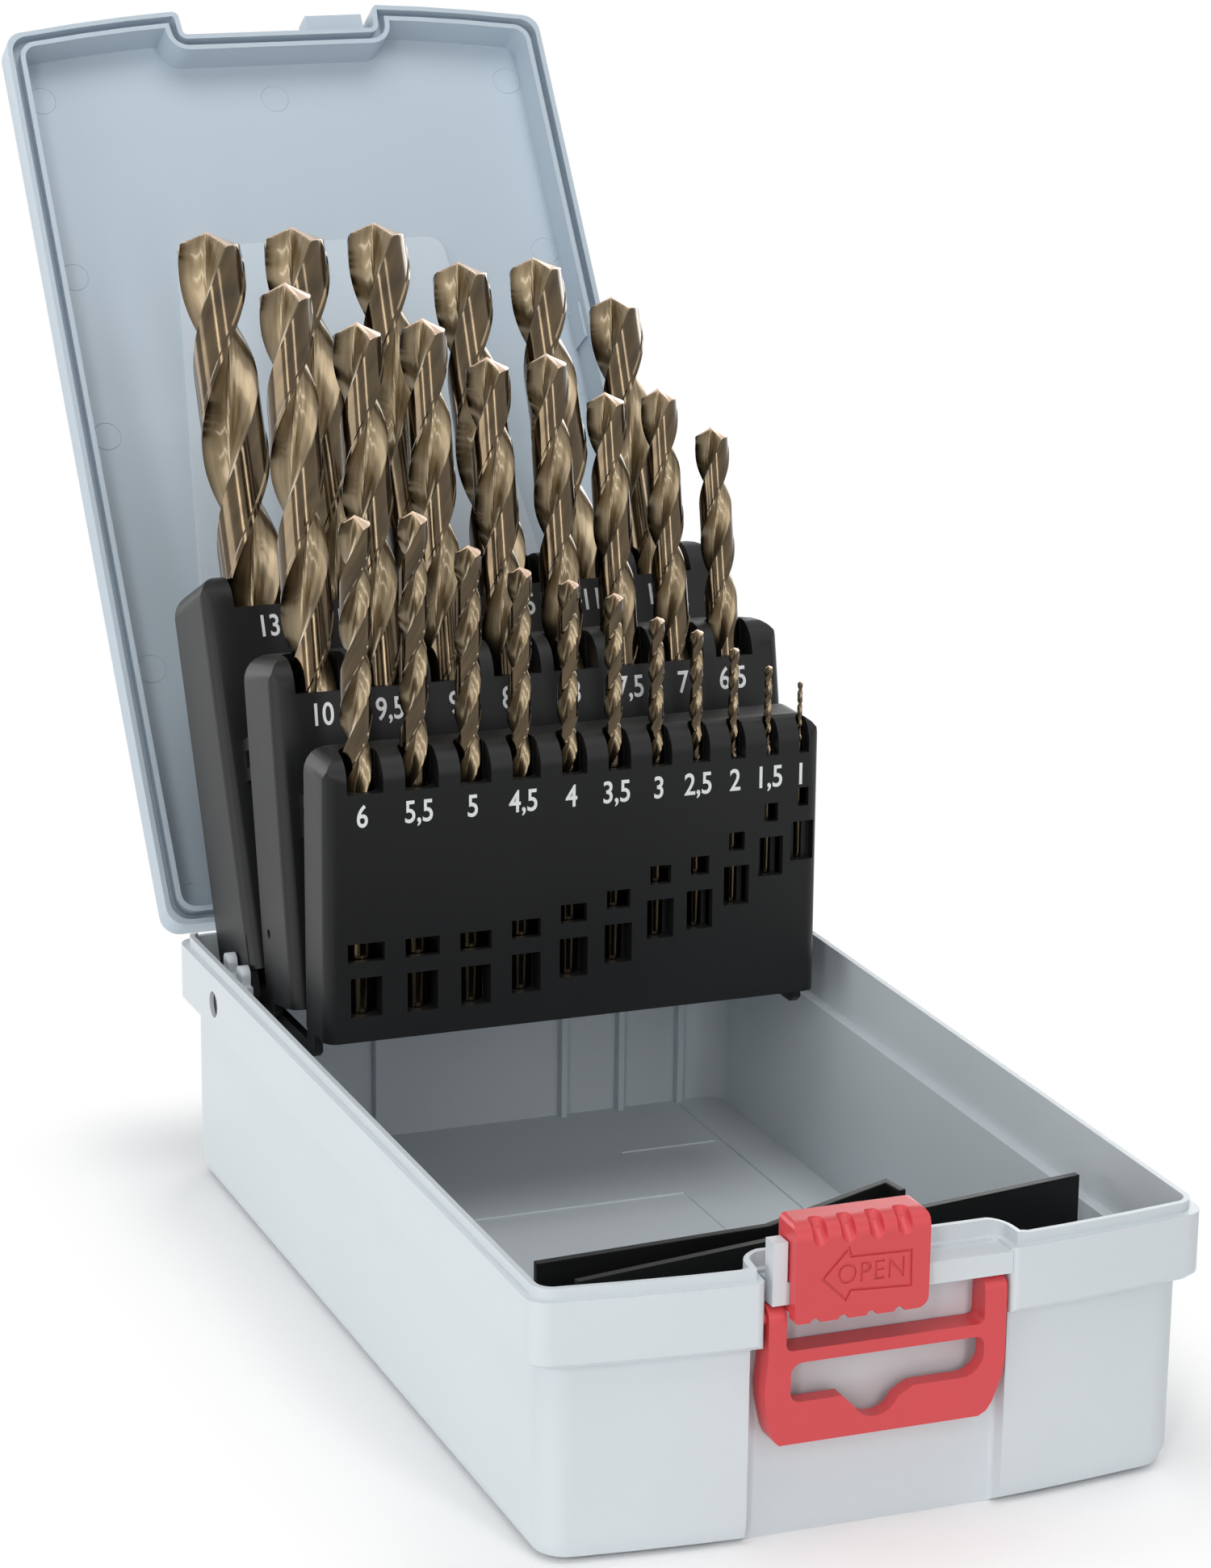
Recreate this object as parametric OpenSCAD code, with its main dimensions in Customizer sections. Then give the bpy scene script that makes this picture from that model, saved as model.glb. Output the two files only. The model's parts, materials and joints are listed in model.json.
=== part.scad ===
// Drill bit case: a shallow plastic box with a hinged lid, three fan-out racks on one pivot line,
// twenty-five twist drills, a sliding latch and a hanging bail.
// Origin: centre of the flat underside. +Z is up, the latch faces -Y and the hinge +Y.
// The model is drawn open, as the case stands when in use.

/* [Case] */
// Width of the case over its rim
case_w = 118.8; // [116:0.2:122]
// Length of the case at its corners, without the bowed front
case_l = 197; // [194:0.5:204]
// How far the middle of the front bows out
front_bow = 5; // [3:0.5:6]
// Height of the base up to its rim
base_h = 46.7; // [46.2:0.1:48]
// Height of the rim band
band_h = 11.6; // [9:0.2:12]
// How far the band stands out from the body below it
band_out = 2.5; // [1.5:0.1:3]
// Wall thickness of the body
wall = 2; // [1.4:0.1:2.2]
// Floor thickness
floor_t = 2; // [1.4:0.1:2.2]
// Corner radius of the rim and the lid
corner_r = 3.8; // [3.4:0.2:5]
// Corner radius of the body below the rim
body_r = 5.4; // [4.6:0.2:6]
// Radius of the bottom edge
bottom_r = 4; // [2:0.5:5]
// Height of the tongue on the rim
tongue_h = 1.8; // [1:0.1:2.2]

/* [Lid] */
// Depth of the space under the lid, above the rim
lid_depth = 8.6; // [8.4:0.1:12]
// Thickness of the lid's top
lid_t = 1.8; // [1.2:0.1:3]
// Width of the rim of the lid, with its groove
lid_rim = 3.6; // [3.3:0.1:4]
// Opening angle of the lid
lid_open = 125; // [110:1:130]
// Distance of the hinge line behind the rear wall
hinge_back = 2.8; // [2.7:0.1:4]
// Radius of a hinge knuckle
knuckle_r = 2.3; // [2:0.1:2.4]
// Radius of a hinge pin
hinge_pin_r = 1.2; // [0.8:0.05:1.4]
// Distance of each hinge from the side of the case
hinge_in = 23.4; // [20:0.2:29]
// Length of the middle knuckle of a hinge
knuckle_l = 8; // [6:0.5:10]

/* [Racks] */
// Distance of the rack pivot in front of the rear rim
pivot_back = 24.5; // [23.5:0.5:25.5]
// Height of the rack pivot above the underside
pivot_z = 41; // [40.8:0.1:41.4]
// Radius of the pivot pins
pivot_pin_r = 2.5; // [2:0.1:2.8]
// Lean of the large rack when open
lean_large = 24; // [20:1:28]
// Lean of the medium rack when open
lean_medium = 11.5; // [9:0.5:14]
// Lean of the small rack when open
lean_small = 0.5; // [0:0.5:3]
// Thickness of the large rack
large_t = 21.2; // [19:0.1:21.4]
// Thickness of the medium rack
medium_t = 17.4; // [15:0.1:17.6]
// Thickness of the small rack
small_t = 12; // [10:0.1:12.2]
// Room beside the small rack for the steps of the other racks and the pivot brackets
side_room = 10.2; // [10:0.1:10.6]
// Thickness of the side walls and pivot ears
ear_t = 1.6; // [1.2:0.1:1.7]
// Radius of an ear around the pivot
ear_r = 4.8; // [4:0.1:5]
// Height of the top of the large rack above the pivot
large_top = 82; // [78:1:84]
// Height of the top of the medium rack above the pivot
medium_top = 66.5; // [62:0.5:70]
// Height of the top of the small rack above the pivot
small_top = 57; // [54:0.5:60]
// Depth of the finger notches
notch_depth = 7; // [4:0.5:9]
// Radius of the top front edge of a rack
rack_r = 6; // [3:0.5:7]

/* [Drill bits] */
// Radial clearance of a bit in its hole
bit_clear = 0.3; // [0.2:0.05:0.5]
// Helix angle of the flutes
helix_angle = 30; // [24:1:36]
// Distance of the 13 mm bit from the side of its rack
large_margin = 13.1; // [12.2:0.1:15]
// Distance of the 10 mm bit from the side of its rack
medium_margin = 10.1; // [9.2:0.1:12]
// Distance of the 6 mm bit from the side of its rack
small_margin = 7.9; // [7.2:0.1:9.2]

/* [Latch] */
// Width of the recess in the front
recess_w = 42.6; // [42.4:0.2:45]
// Distance of the latch from the middle
latch_x = 0.5; // [-0.5:0.1:1]
// Depth of the recess behind the bowed rim
recess_depth = 6.2; // [5.8:0.1:6.4]
// Width of the latch slider
slider_w = 23.4; // [21:0.2:24]
// Width of an arm of the bail
bail_arm = 3.1; // [2.4:0.1:3.4]
// Height of the rail above the underside
rail_z = 42.3; // [42:0.1:42.6]
// Height of the rail
rail_h = 3.8; // [3.2:0.1:4]
// Width of the hanging bail
bail_w = 41.9; // [41:0.1:42]
// Height of the hanging bail below its pivot
bail_h = 21.6; // [19:0.2:23]
// Depth of the rim of the hanging bail
bail_t = 4.8; // [4:0.1:4.8]
// Radius of the bail's pivot pegs
peg_r = 1.2; // [0.8:0.05:1.4]

/* [Tip guard] */
// Height of the tip guard above the floor
guard_h = 41.8; // [38:0.2:42]
// Thickness of the tip guard's plates
guard_t = 1.4; // [1:0.1:1.6]

/* [Hidden] */
large_d = [13, 12.5, 12, 11.5, 11, 10.5];
medium_d = [10, 9.5, 9, 8.5, 8, 7.5, 7, 6.5];
small_d = [6, 5.5, 5, 4.5, 4, 3.5, 3, 2.5, 2, 1.5, 1];
// Standard overall and flute lengths of jobber drills for these diameters
large_len = [151, 151, 151, 142, 142, 133];
large_flute = [101, 101, 101, 94, 94, 87];
medium_len = [133, 125, 125, 117, 117, 109, 109, 101];
medium_flute = [87, 81, 81, 75, 75, 69, 69, 63];
small_len = [93, 93, 86, 80, 75, 70, 61, 57, 49, 40, 34];
small_flute = [57, 57, 52, 47, 43, 39, 33, 30, 24, 18, 12];
// Seat heights above the pivot line
large_seat = [for (d = large_d) 0];
medium_seat = [for (d = medium_d) 2.1];
small_seat = [7.5, 7.5, 7.5, 8.8, 10.8, 12.6, 16.5, 17.5, 21.5, 26.5, 29];

$fn = 48;
e = 0.01;
run_gap = 0.05;
half_w = case_w / 2;
half_l = case_l / 2;
pivot_y = half_l - pivot_back;
hinge_x = half_w - hinge_in;
small_half_w = half_w - side_room;
band_z = base_h - band_h;
inner_w = half_w - band_out - wall;
hinge_y = half_l + hinge_back;
hinge_z = base_h - 0.7;
lid_gap = 0.2;
lid_top = base_h + lid_depth + lid_t;
tongue_in = 1.3;
tongue_t = 1;
band_in = tongue_in + tongue_t;

// Stacking of the closed racks: each lies a small gap above the one below
stack_gap = 0.6;
small_n = pivot_z - floor_t - stack_gap + 0.2;
medium_n = small_n - small_t - stack_gap;
large_n = medium_n - medium_t - stack_gap;
rack_step = ear_t + 0.4;
medium_half_w = small_half_w + rack_step;
large_half_w = medium_half_w + rack_step;
pin_in_x = small_half_w - ear_t;
pin_out_x = half_w - 0.8;
shell_t = 1.6;
ear_top = 0.4;
arm_h = 2.4;
top_plate = notch_depth + 3;

// Height of the bow of the front edge at a distance from the middle
function bow(x) = front_bow * (1 - pow(x / half_w, 2));

// Points of an arc, from angle a to b
function arc(cx, cy, r, a, b, n = 6) =
    [for (i = [0:n]) [cx + r * cos(a + (b - a) * i / n), cy + r * sin(a + (b - a) * i / n)]];

// Outline of the case seen from above, set in from the rim by i
function case_outline(i, r = corner_r) =
    let(w = half_w - i, l = half_l - i, cx = w - r, fy = -l - bow(cx), n = 10)
    concat(
        [for (k = [0:n]) let(x = -cx + 2 * cx * k / n) [x, -l - bow(x)]],
        arc(cx, fy + r, r, -84, 0),
        arc(cx, l - r, r, 0, 90),
        arc(-cx, l - r, r, 90, 180),
        arc(-cx, fy + r, r, 180, 264));

module case_slab(i, z0, z1, r = corner_r) {
    translate([0, 0, z0])
        linear_extrude(z1 - z0)
            polygon(case_outline(i, r));
}

// The latch recess in the front: an S-shaped side turns in from the front and out along the back
recess_x = recess_w / 2;
recess_y = -(half_l + front_bow - recess_depth);
lip_r = 1.3;
nook_r = 1;
side_turn = 85;

// Left side of the recess grown by g, from the front inwards, for a half width w at the back
function recess_side(g, w) =
    let(r = lip_r - g, reach = lip_r + nook_r, depth = bow(w + 3) + half_l + recess_y,
        run = (depth - reach * (1 - cos(side_turn))) / sin(side_turn),
        bx = -w, by = recess_y - nook_r,
        lx = bx - reach * sin(side_turn) - run * cos(side_turn),
        ly = by + reach * cos(side_turn) - run * sin(side_turn),
        back = r * (1 - cos(side_turn)) / sin(side_turn))
    concat(
        r > 0.1 ? arc(lx, ly, r, -90, -90 + side_turn, 4)
            : [[lx + r * sin(side_turn) - back * cos(side_turn), ly - r]],
        arc(bx, by, nook_r + g, 90 + side_turn, 90, 5));

module recess_prism(g, z0, z1, w = recess_x, x = latch_x) {
    left = recess_side(g, w - nook_r * 0.96);
    right = [for (i = [len(left) - 1:-1:0]) [-left[i][0], left[i][1]]];
    low = -half_l - front_bow - 3;
    translate([x, 0, z0])
        linear_extrude(z1 - z0)
            polygon(concat([[left[0][0], low]], left, right, [[-left[0][0], low]]));
}

// A slab of the case that goes round the recess
module notched_slab(i, z0, z1, r = corner_r) {
    difference() {
        case_slab(i, z0, z1, r);
        recess_prism(i, z0 - 1, z1 + 1);
    }
}

// A box given by its low and high corners
module box(a, b) {
    translate(a)
        cube(b - a);
}

// A cylinder along X between two places
module x_rod(r, x0, x1, y, z) {
    translate([x0, y, z])
        rotate([0, 90, 0])
            cylinder(r = r, h = x1 - x0);
}

// ---------------------------------------------------------------- base

peg_z = rail_z - 0.3 - bail_t / 2;
peg_y = recess_y - 0.3 - bail_t / 2;

module base_outer() {
    hull() {
        case_slab(band_out + bottom_r * 0.8, 0, 0.2, body_r - 2);
        case_slab(band_out + bottom_r * 0.25, bottom_r * 0.3, bottom_r * 0.3 + 0.2, body_r);
        case_slab(band_out, bottom_r, bottom_r + 0.2, body_r);
    }
    case_slab(band_out, bottom_r, band_z + 1, body_r);
    hull() {
        case_slab(0.9, band_z, band_z + 0.2);
        case_slab(0, band_z + 0.9, band_z + 1.1);
    }
    case_slab(0, band_z + 1, base_h);
}

module base_cavity() {
    difference() {
        case_slab(band_out + wall, floor_t, base_h + 1, body_r - 1.4);
        recess_prism(band_in, floor_t - 1, base_h + 2);
    }
    notched_slab(band_in, band_z + 1.5, base_h + tongue_h + 2, corner_r - 1);
}

// Raised tongue on the rim. It rises beside the latch and is low beside the hinges.
module rim_tongue() {
    tall = base_h + tongue_h + 0.9;
    x = recess_x + 4;
    intersection() {
        difference() {
            notched_slab(tongue_in, base_h - 1, tall);
            notched_slab(band_in, base_h - 2, tall + 1, corner_r - 1);
        }
        union() {
            box([-half_w, -half_l - front_bow, base_h - 1],
                [half_w, half_l - band_in - 0.5, base_h + tongue_h]);
            box([-half_w, -half_l - front_bow, base_h - 1], [half_w, half_l, base_h + 1]);
            translate([latch_x, recess_y + 6, 0])
                rotate([90, 0, 0])
                    linear_extrude(12)
                        polygon([[-x, base_h - 1], [-x, base_h + tongue_h], [-recess_x + 1, tall],
                            [recess_x - 1, tall], [x, base_h + tongue_h], [x, base_h - 1]]);
        }
    }
}

recess_l = latch_x - recess_x;
recess_r = latch_x + recess_x;
slider_x = [recess_l + 3.6, recess_l + 3.6 + slider_w];
rail_y = peg_y - bail_t / 2;
rail_t = 1.4;

// Rail under a ledge, with a post that stops the slider
module latch_rail() {
    post_x = slider_x[0] - 0.3;
    box([post_x - 2.5, rail_y, rail_z], [recess_r + 0.5, rail_y + rail_t, rail_z + rail_h]);
    box([post_x - 2.5, rail_y + rail_t - 0.2, rail_z + rail_h - 1.2],
        [recess_r + 0.5, recess_y + 0.2, rail_z + rail_h]);
    box([post_x - 2.5, rail_y, rail_z], [post_x, rail_y + 3.2, rail_z + 10.7]);
}

bracket_x = large_half_w + 0.45;
finger_y = 4.25;
finger_r = 1.7;
finger_x = half_w - lid_rim - 0.35;

// Bearing bracket for the rack pivot, with two fingers standing above the rim
module pivot_bracket(s) {
    a = bracket_x;
    b = half_w - band_in + 0.5;
    mirror([s < 0 ? 1 : 0, 0, 0]) {
        box([a, pivot_y - 7.5, pivot_z - 6.5], [b, pivot_y + 7.5, base_h - 0.6]);
        for (k = [-1, 1]) {
            box([a, pivot_y + k * finger_y - finger_r, base_h - 1],
                [finger_x, pivot_y + k * finger_y + finger_r, base_h + 1.2]);
            x_rod(finger_r, a, finger_x, pivot_y + k * finger_y, base_h + 1.2);
        }
    }
}

module knuckle(x0, x1, down) {
    difference() {
        union() {
            x_rod(knuckle_r, x0, x1, hinge_y, hinge_z);
            if (down)
                box([x0, half_l - 0.5, hinge_z - knuckle_r - 1.5], [x1, hinge_y, hinge_z - 0.9]);
            else
                box([x0, half_l - 0.5, hinge_z + 0.9], [x1, hinge_y, hinge_z + knuckle_r + 1.5]);
        }
        x_rod(hinge_pin_r + run_gap, x0 - 1, x1 + 1, hinge_y, hinge_z);
    }
}

rib_x = [for (k = [-0.364, 0.361, 0.587, 0.823]) k * inner_w];
bead_x = inner_w - 9.5;
panel_x = [-inner_w + 14.9, inner_w - 27.4];
panel_y = [-half_l + 53.5, half_l - 53];

// Ribs of the rear wall and the raised lines on the floor
module base_ribs() {
    rear = half_l - band_out - wall;
    for (x = rib_x)
        box([x - 0.6, rear - 2, floor_t - 0.5], [x + 0.6, rear + 0.5, band_z - 1]);
    box([bead_x - 0.6, -half_l + 38.5, floor_t - 0.5], [bead_x + 0.6, rear, floor_t + 0.4]);
    box([bead_x - 22, rear - 25, floor_t - 0.5], [bead_x - 2, rear - 24.2, floor_t + 0.3]);
    difference() {
        box([panel_x[0], panel_y[0], floor_t - 0.5], [panel_x[1], panel_y[1], floor_t + 0.3]);
        box([panel_x[0] + 1, panel_y[0] + 1, 0], [panel_x[1] - 1, panel_y[1] - 1, floor_t + 1]);
    }
}

module base_shell() {
    color([0.84, 0.86, 0.87])
    difference() {
        union() {
            difference() {
                base_outer();
                base_cavity();
                recess_prism(0, band_z, base_h + 9);
                recess_prism(0, -1, band_z + 0.1, recess_x + 1.2, 0);
            }
            rim_tongue();
            latch_rail();
            base_ribs();
            pivot_bracket(1);
            pivot_bracket(-1);
            for (s = [-1, 1])
                knuckle(s * hinge_x - knuckle_l / 2, s * hinge_x + knuckle_l / 2, true);
        }
        // bores for the rack pivot pins
        x_rod(pivot_pin_r + run_gap, bracket_x - 1, half_w + 1, pivot_y, pivot_z);
        x_rod(pivot_pin_r + run_gap, -half_w - 1, -bracket_x + 1, pivot_y, pivot_z);
        // bores for the bail's pegs
        x_rod(peg_r + run_gap, recess_l - band_in - 1, recess_l + 1, peg_y, peg_z);
        x_rod(peg_r + run_gap, recess_r - 1, recess_r + band_in + 1, peg_y, peg_z);
    }
}

// ---------------------------------------------------------------- lid, drawn closed

tab_x = [slider_x[1] + 1.5, slider_x[1] + 14.2];
tab_z = base_h + 2.9;
tab_t = 5;
tab_reach = 4.8;
clip_y = -27;

module lid_closed() {
    lo = base_h + lid_gap;
    tall = base_h + tongue_h + 1.3;
    difference() {
        union() {
            difference() {
                union() {
                    case_slab(0, lo, lid_top - 4);
                    hull() {
                        case_slab(0, lid_top - 4.2, lid_top - 4);
                        case_slab(0.9, lid_top - 1.4, lid_top - 1.2);
                        case_slab(3, lid_top - 0.2, lid_top, corner_r - 1);
                    }
                }
                notched_slab(lid_rim, lo - 1, base_h + lid_depth, corner_r - 1);
                recess_prism(0, lo - 1, lid_top + 1);
                // groove for the tongue of the base
                difference() {
                    notched_slab(tongue_in - 0.25, lo - 1, tall);
                    notched_slab(band_in + 0.25, lo - 2, tall + 1);
                }
            }
            box([tab_x[0], recess_y - tab_reach, tab_z], [tab_x[1], recess_y + 0.5, tab_z + tab_t]);
            for (s = [-1, 1]) {
                x = s * (half_w - lid_rim);
                box([min(x, x - s * 0.7), clip_y - 4, base_h + 2],
                    [max(x + s * 0.3, x - s * 0.7), clip_y + 4, base_h + lid_depth + 0.5]);
                for (k = [-1, 1]) {
                    a = s * hinge_x + k * (knuckle_l / 2 + 0.3);
                    knuckle(min(a, a + k * 6), max(a, a + k * 6), false);
                }
            }
        }
        // the lid's rear edge clears the middle knuckles
        for (s = [-1, 1])
            x_rod(knuckle_r + 0.3, s * hinge_x - knuckle_l / 2 - 0.3,
                s * hinge_x + knuckle_l / 2 + 0.3, hinge_y, hinge_z);
    }
}

module lid_shell() {
    color([0.68, 0.73, 0.77])
    translate([0, hinge_y, hinge_z])
        rotate([-lid_open, 0, 0])
            translate([0, -hinge_y, -hinge_z])
                lid_closed();
}

module hinge_pin(s) {
    color("silver")
        x_rod(hinge_pin_r, s * hinge_x - knuckle_l / 2 - 6, s * hinge_x + knuckle_l / 2 + 6,
            hinge_y, hinge_z);
}

module hinge_pin_left() {
    hinge_pin(-1);
}

module hinge_pin_right() {
    hinge_pin(1);
}

// ---------------------------------------------------------------- racks

// Places of a row of bits: the free gap between neighbours is the same along the row
function sum_to(v, n) = n < 0 ? 0 : v[n] + sum_to(v, n - 1);
function bit_gap(d, x0, x1) =
    let(n = len(d) - 1)
    (x0 + x1 - sum_to(d, n) + d[0] / 2 + d[n] / 2) / n;
function bit_x(d, i, x0, x1) =
    -x0 + sum_to(d, i) - d[0] / 2 - d[i] / 2 + i * bit_gap(d, x0, x1);

large_first_x = large_half_w - large_margin;
medium_first_x = medium_half_w - medium_margin;
small_first_x = small_half_w - small_margin;
large_last_x = large_first_x + 2;
medium_last_x = medium_first_x + 0.6;
small_last_x = small_first_x + 4.4;
large_x = [for (i = [0:len(large_d) - 1]) bit_x(large_d, i, large_first_x, large_last_x)];
medium_x = [for (i = [0:len(medium_d) - 1]) bit_x(medium_d, i, medium_first_x, medium_last_x)];
small_x = [for (i = [0:len(small_d) - 1]) bit_x(small_d, i, small_first_x, small_last_x)];

// Depth of a bit's axis behind the front face of its rack
function bit_depth(d) = shell_t + d / 2 + bit_clear;

// Side profile of a rack: front at -n, rounded at the top front edge
function rack_side(n, t, z0, z1) =
    let(r = min(rack_r, t / 2 - 1))
    concat([[-n, z0]], [for (p = arc(n - r, z1 - r, r, 0, 90)) [-p[0], p[1]]],
        arc(t - n - 1.5, z1 - 1.5, 1.5, 90, 0, 3), [[t - n, z0]]);

// Front view of a rack: rounded upper corners
function rack_front(w, z0, z1) =
    concat([[-w, z0], [w, z0]], arc(w - 5, z1 - 5, 5, 0, 90), arc(-w + 5, z1 - 5, 5, 90, 180));

// Plan of a rack: rounded upright front edges
function rack_plan(w, n, t) =
    concat([[w, t - n], [-w, t - n]], arc(-w + 2.5, -n + 2.5, 2.5, 180, 270, 4),
        arc(w - 2.5, -n + 2.5, 2.5, 270, 360, 4));

module rack_block(w, n, t, z0, z1) {
    intersection() {
        translate([-w - 1, 0, 0])
            rotate([90, 0, 90])
                linear_extrude(2 * w + 2)
                    polygon(rack_side(n, t, z0, z1));
        translate([0, t - n + 1, 0])
            rotate([90, 0, 0])
                linear_extrude(t + 2)
                    polygon(rack_front(w, z0, z1));
        translate([0, 0, z0 - 1])
            linear_extrude(z1 - z0 + 2)
                polygon(rack_plan(w, n, t));
    }
}

// Side plate with the eye on the pivot line. Where the rack stands in front of the line, a low arm
// reaches back from the rear of its foot, under the racks behind it.
module ear_plate(s, w, n, t, z0) {
    back = t - n;
    translate([s > 0 ? w - ear_t : -w, 0, 0])
        rotate([90, 0, 90])
            linear_extrude(ear_t)
                union() {
                    if (back < 0)
                        polygon([[back - 5, z0 + 5], [back - 5, -0.8], [back - 3.5, -arm_h + ear_top],
                            [0, -arm_h + ear_top], [0, ear_top], [back - 0.5, ear_top],
                            [back - 0.5, z0 + 5]]);
                    else
                        polygon([[-n + 1.5, z0 + 12], [-n + 1.5, min(z0, 2)], [-n + 6, -ear_r + 0.6],
                            [-n + 9, -ear_r], [max(0, -n + 10), -ear_r], [max(0, -n + 10), 0],
                            [3, 2], [3, z0 + 12]]);
                    circle(r = ear_r);
                }
}

// A hollow rack with a pedestal, a hole, a finger notch and two windows for each bit.
// It stands upright with the pivot line at the origin.
module rack(w, n, t, z0, z1, x, d, seat, foot_w) {
    difference() {
        union() {
            difference() {
                union() {
                    difference() {
                        rack_block(w, n, t, z0, z1);
                        box([-w + shell_t, -n + shell_t, z0 + 1.5],
                            [w - shell_t, t - n - shell_t, z1 - top_plate]);
                    }
                    for (i = [0:len(d) - 1])
                        box([x[i] - d[i] / 2 - 1.3, -n + shell_t - 0.2, z0 + 0.5],
                            [x[i] + d[i] / 2 + 1.3, t - n - shell_t + 0.2, seat[i] + 9.4]);
                }
                // the foot is narrow enough to stand between the eyes of the other racks
                for (s = [-1, 1])
                    if (foot_w < w)
                        box([s > 0 ? foot_w : -w - 1, -n - 1, z0 - 1],
                            [s > 0 ? w + 1 : -foot_w, t - n + 1, ear_r + 0.4]);
            }
            for (s = [-1, 1])
                ear_plate(s, w, n, t, z0 > 0 ? z0 : 0);
        }
        for (i = [0:len(d) - 1]) {
            translate([x[i], -n + bit_depth(d[i]), seat[i]])
                cylinder(r = d[i] / 2 + bit_clear, h = z1 - seat[i] + 1);
            // finger notch
            box([x[i] - d[i] / 2 - 0.5, -n - 1, z1 - notch_depth],
                [x[i] + d[i] / 2 + 0.5, -n + bit_depth(d[i]), z1 + 1]);
            // lower window over the end of the shank, upper window over the shank
            box([x[i] - 2.3 - d[i] / 8, -n - 1, seat[i]],
                [x[i] + 2.3 + d[i] / 8, -n + bit_depth(d[i]), seat[i] + 7.6]);
            box([x[i] - 0.6 - d[i] / 2, -n - 1, seat[i] + 10.6],
                [x[i] + 0.6 + d[i] / 2, -n + bit_depth(d[i]), seat[i] + 14.2]);
        }
        for (s = [-1, 1])
            x_rod(pivot_pin_r + run_gap, s > 0 ? w - ear_t - 0.3 : -w - 1,
                s > 0 ? w + 1 : -w + ear_t + 0.3, 0, 0);
    }
}

module lean_back(a) {
    translate([0, pivot_y, pivot_z])
        rotate([-a, 0, 0])
            children();
}

rack_color = [0.13, 0.14, 0.15];
large_foot_w = small_half_w - ear_t - 0.3;
link_z = 45;
link_low_z = 37;
link_t = 1.2;
link_x = medium_half_w - shell_t - 0.3 - link_t;
link_low_x = small_half_w - shell_t - 0.3 - link_t;

// Hook that ties a rack to the one in front of it
module link_hook(x, n, z, reach) {
    difference() {
        box([x - link_t, -n - reach, z - 4], [x, -n + 1, z + 4]);
        box([x - link_t - 1, -n - reach + 2, z - 1.6], [x + 1, -n - 1.6, z + 1.6]);
    }
}

module link_slot(x, n_back, z, rise) {
    box([x - link_t - 0.3, -n_back - shell_t - 1, z - 4.6], [x + 0.3, -n_back + 1, z + 4 + rise]);
}

module rack_large() {
    color(rack_color)
    lean_back(lean_large) {
        rack(large_half_w, large_n, large_t, -1.5, large_top, large_x, large_d, large_seat,
            large_foot_w);
        link_hook(-link_x, large_n, link_z, 12);
    }
}

module rack_medium() {
    color(rack_color)
    lean_back(lean_medium) {
        difference() {
            rack(medium_half_w, medium_n, medium_t, 0.7, medium_top, medium_x, medium_d,
                medium_seat, medium_half_w);
            link_slot(-link_x, medium_n - medium_t, link_z, 5);
            x_rod(0.9, -medium_half_w - 1, -medium_half_w + shell_t + 0.5, -medium_n / 2, 14);
        }
        link_hook(-link_low_x, medium_n, link_low_z, 9);
    }
}

module rack_small() {
    color(rack_color)
    lean_back(lean_small)
        difference() {
            rack(small_half_w, small_n, small_t, 2.7, small_top, small_x, small_d, small_seat,
                small_half_w);
            link_slot(-link_low_x, small_n - small_t, link_low_z, 7);
        }
}

module rack_pin(s) {
    color("silver")
        x_rod(pivot_pin_r, s > 0 ? pin_in_x : -pin_out_x, s > 0 ? pin_out_x : -pin_in_x,
            pivot_y, pivot_z);
}

module rack_pin_left() {
    rack_pin(-1);
}

module rack_pin_right() {
    rack_pin(1);
}

// ---------------------------------------------------------------- latch slider and bail

slide_gap = 0.25;
slider_t = 2.2;
slider_r = 3;
slider_low = rail_z - 2.6;
slider_top = tab_z + tab_t + 1.8;
grip = slider_w * 0.209;

function slider_grip_x(k) = slider_x[0] + slider_w * 0.18 + k * grip;

// Front view of the slider, with round lower corners
function slider_front() =
    concat(arc(slider_x[1] - 2, slider_low + 2, 2, 0, -90), arc(slider_x[0] + 0.8, slider_low + 0.8,
        0.8, -90, -180, 3), arc(slider_x[0] + 1, slider_top - 1, 1, 180, 90, 3),
        arc(slider_x[1] - 1.4, slider_top - 1.4, 1.4, 90, 0, 4));

// Side view: a front plate that turns over at the top into the flange above the lid's tab
function slider_side(front, back, flange) =
    concat([[front, slider_low], [front - slider_t, slider_low]],
        arc(front - slider_t + slider_r, slider_top - slider_r, slider_r, 180, 90, 6),
        [[back, slider_top], [back, slider_top - flange], [front, slider_top - flange]]);

module slider_bar(points) {
    translate([slider_x[0], 0, 0])
        rotate([90, 0, 90])
            linear_extrude(slider_w)
                polygon(points);
}

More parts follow.
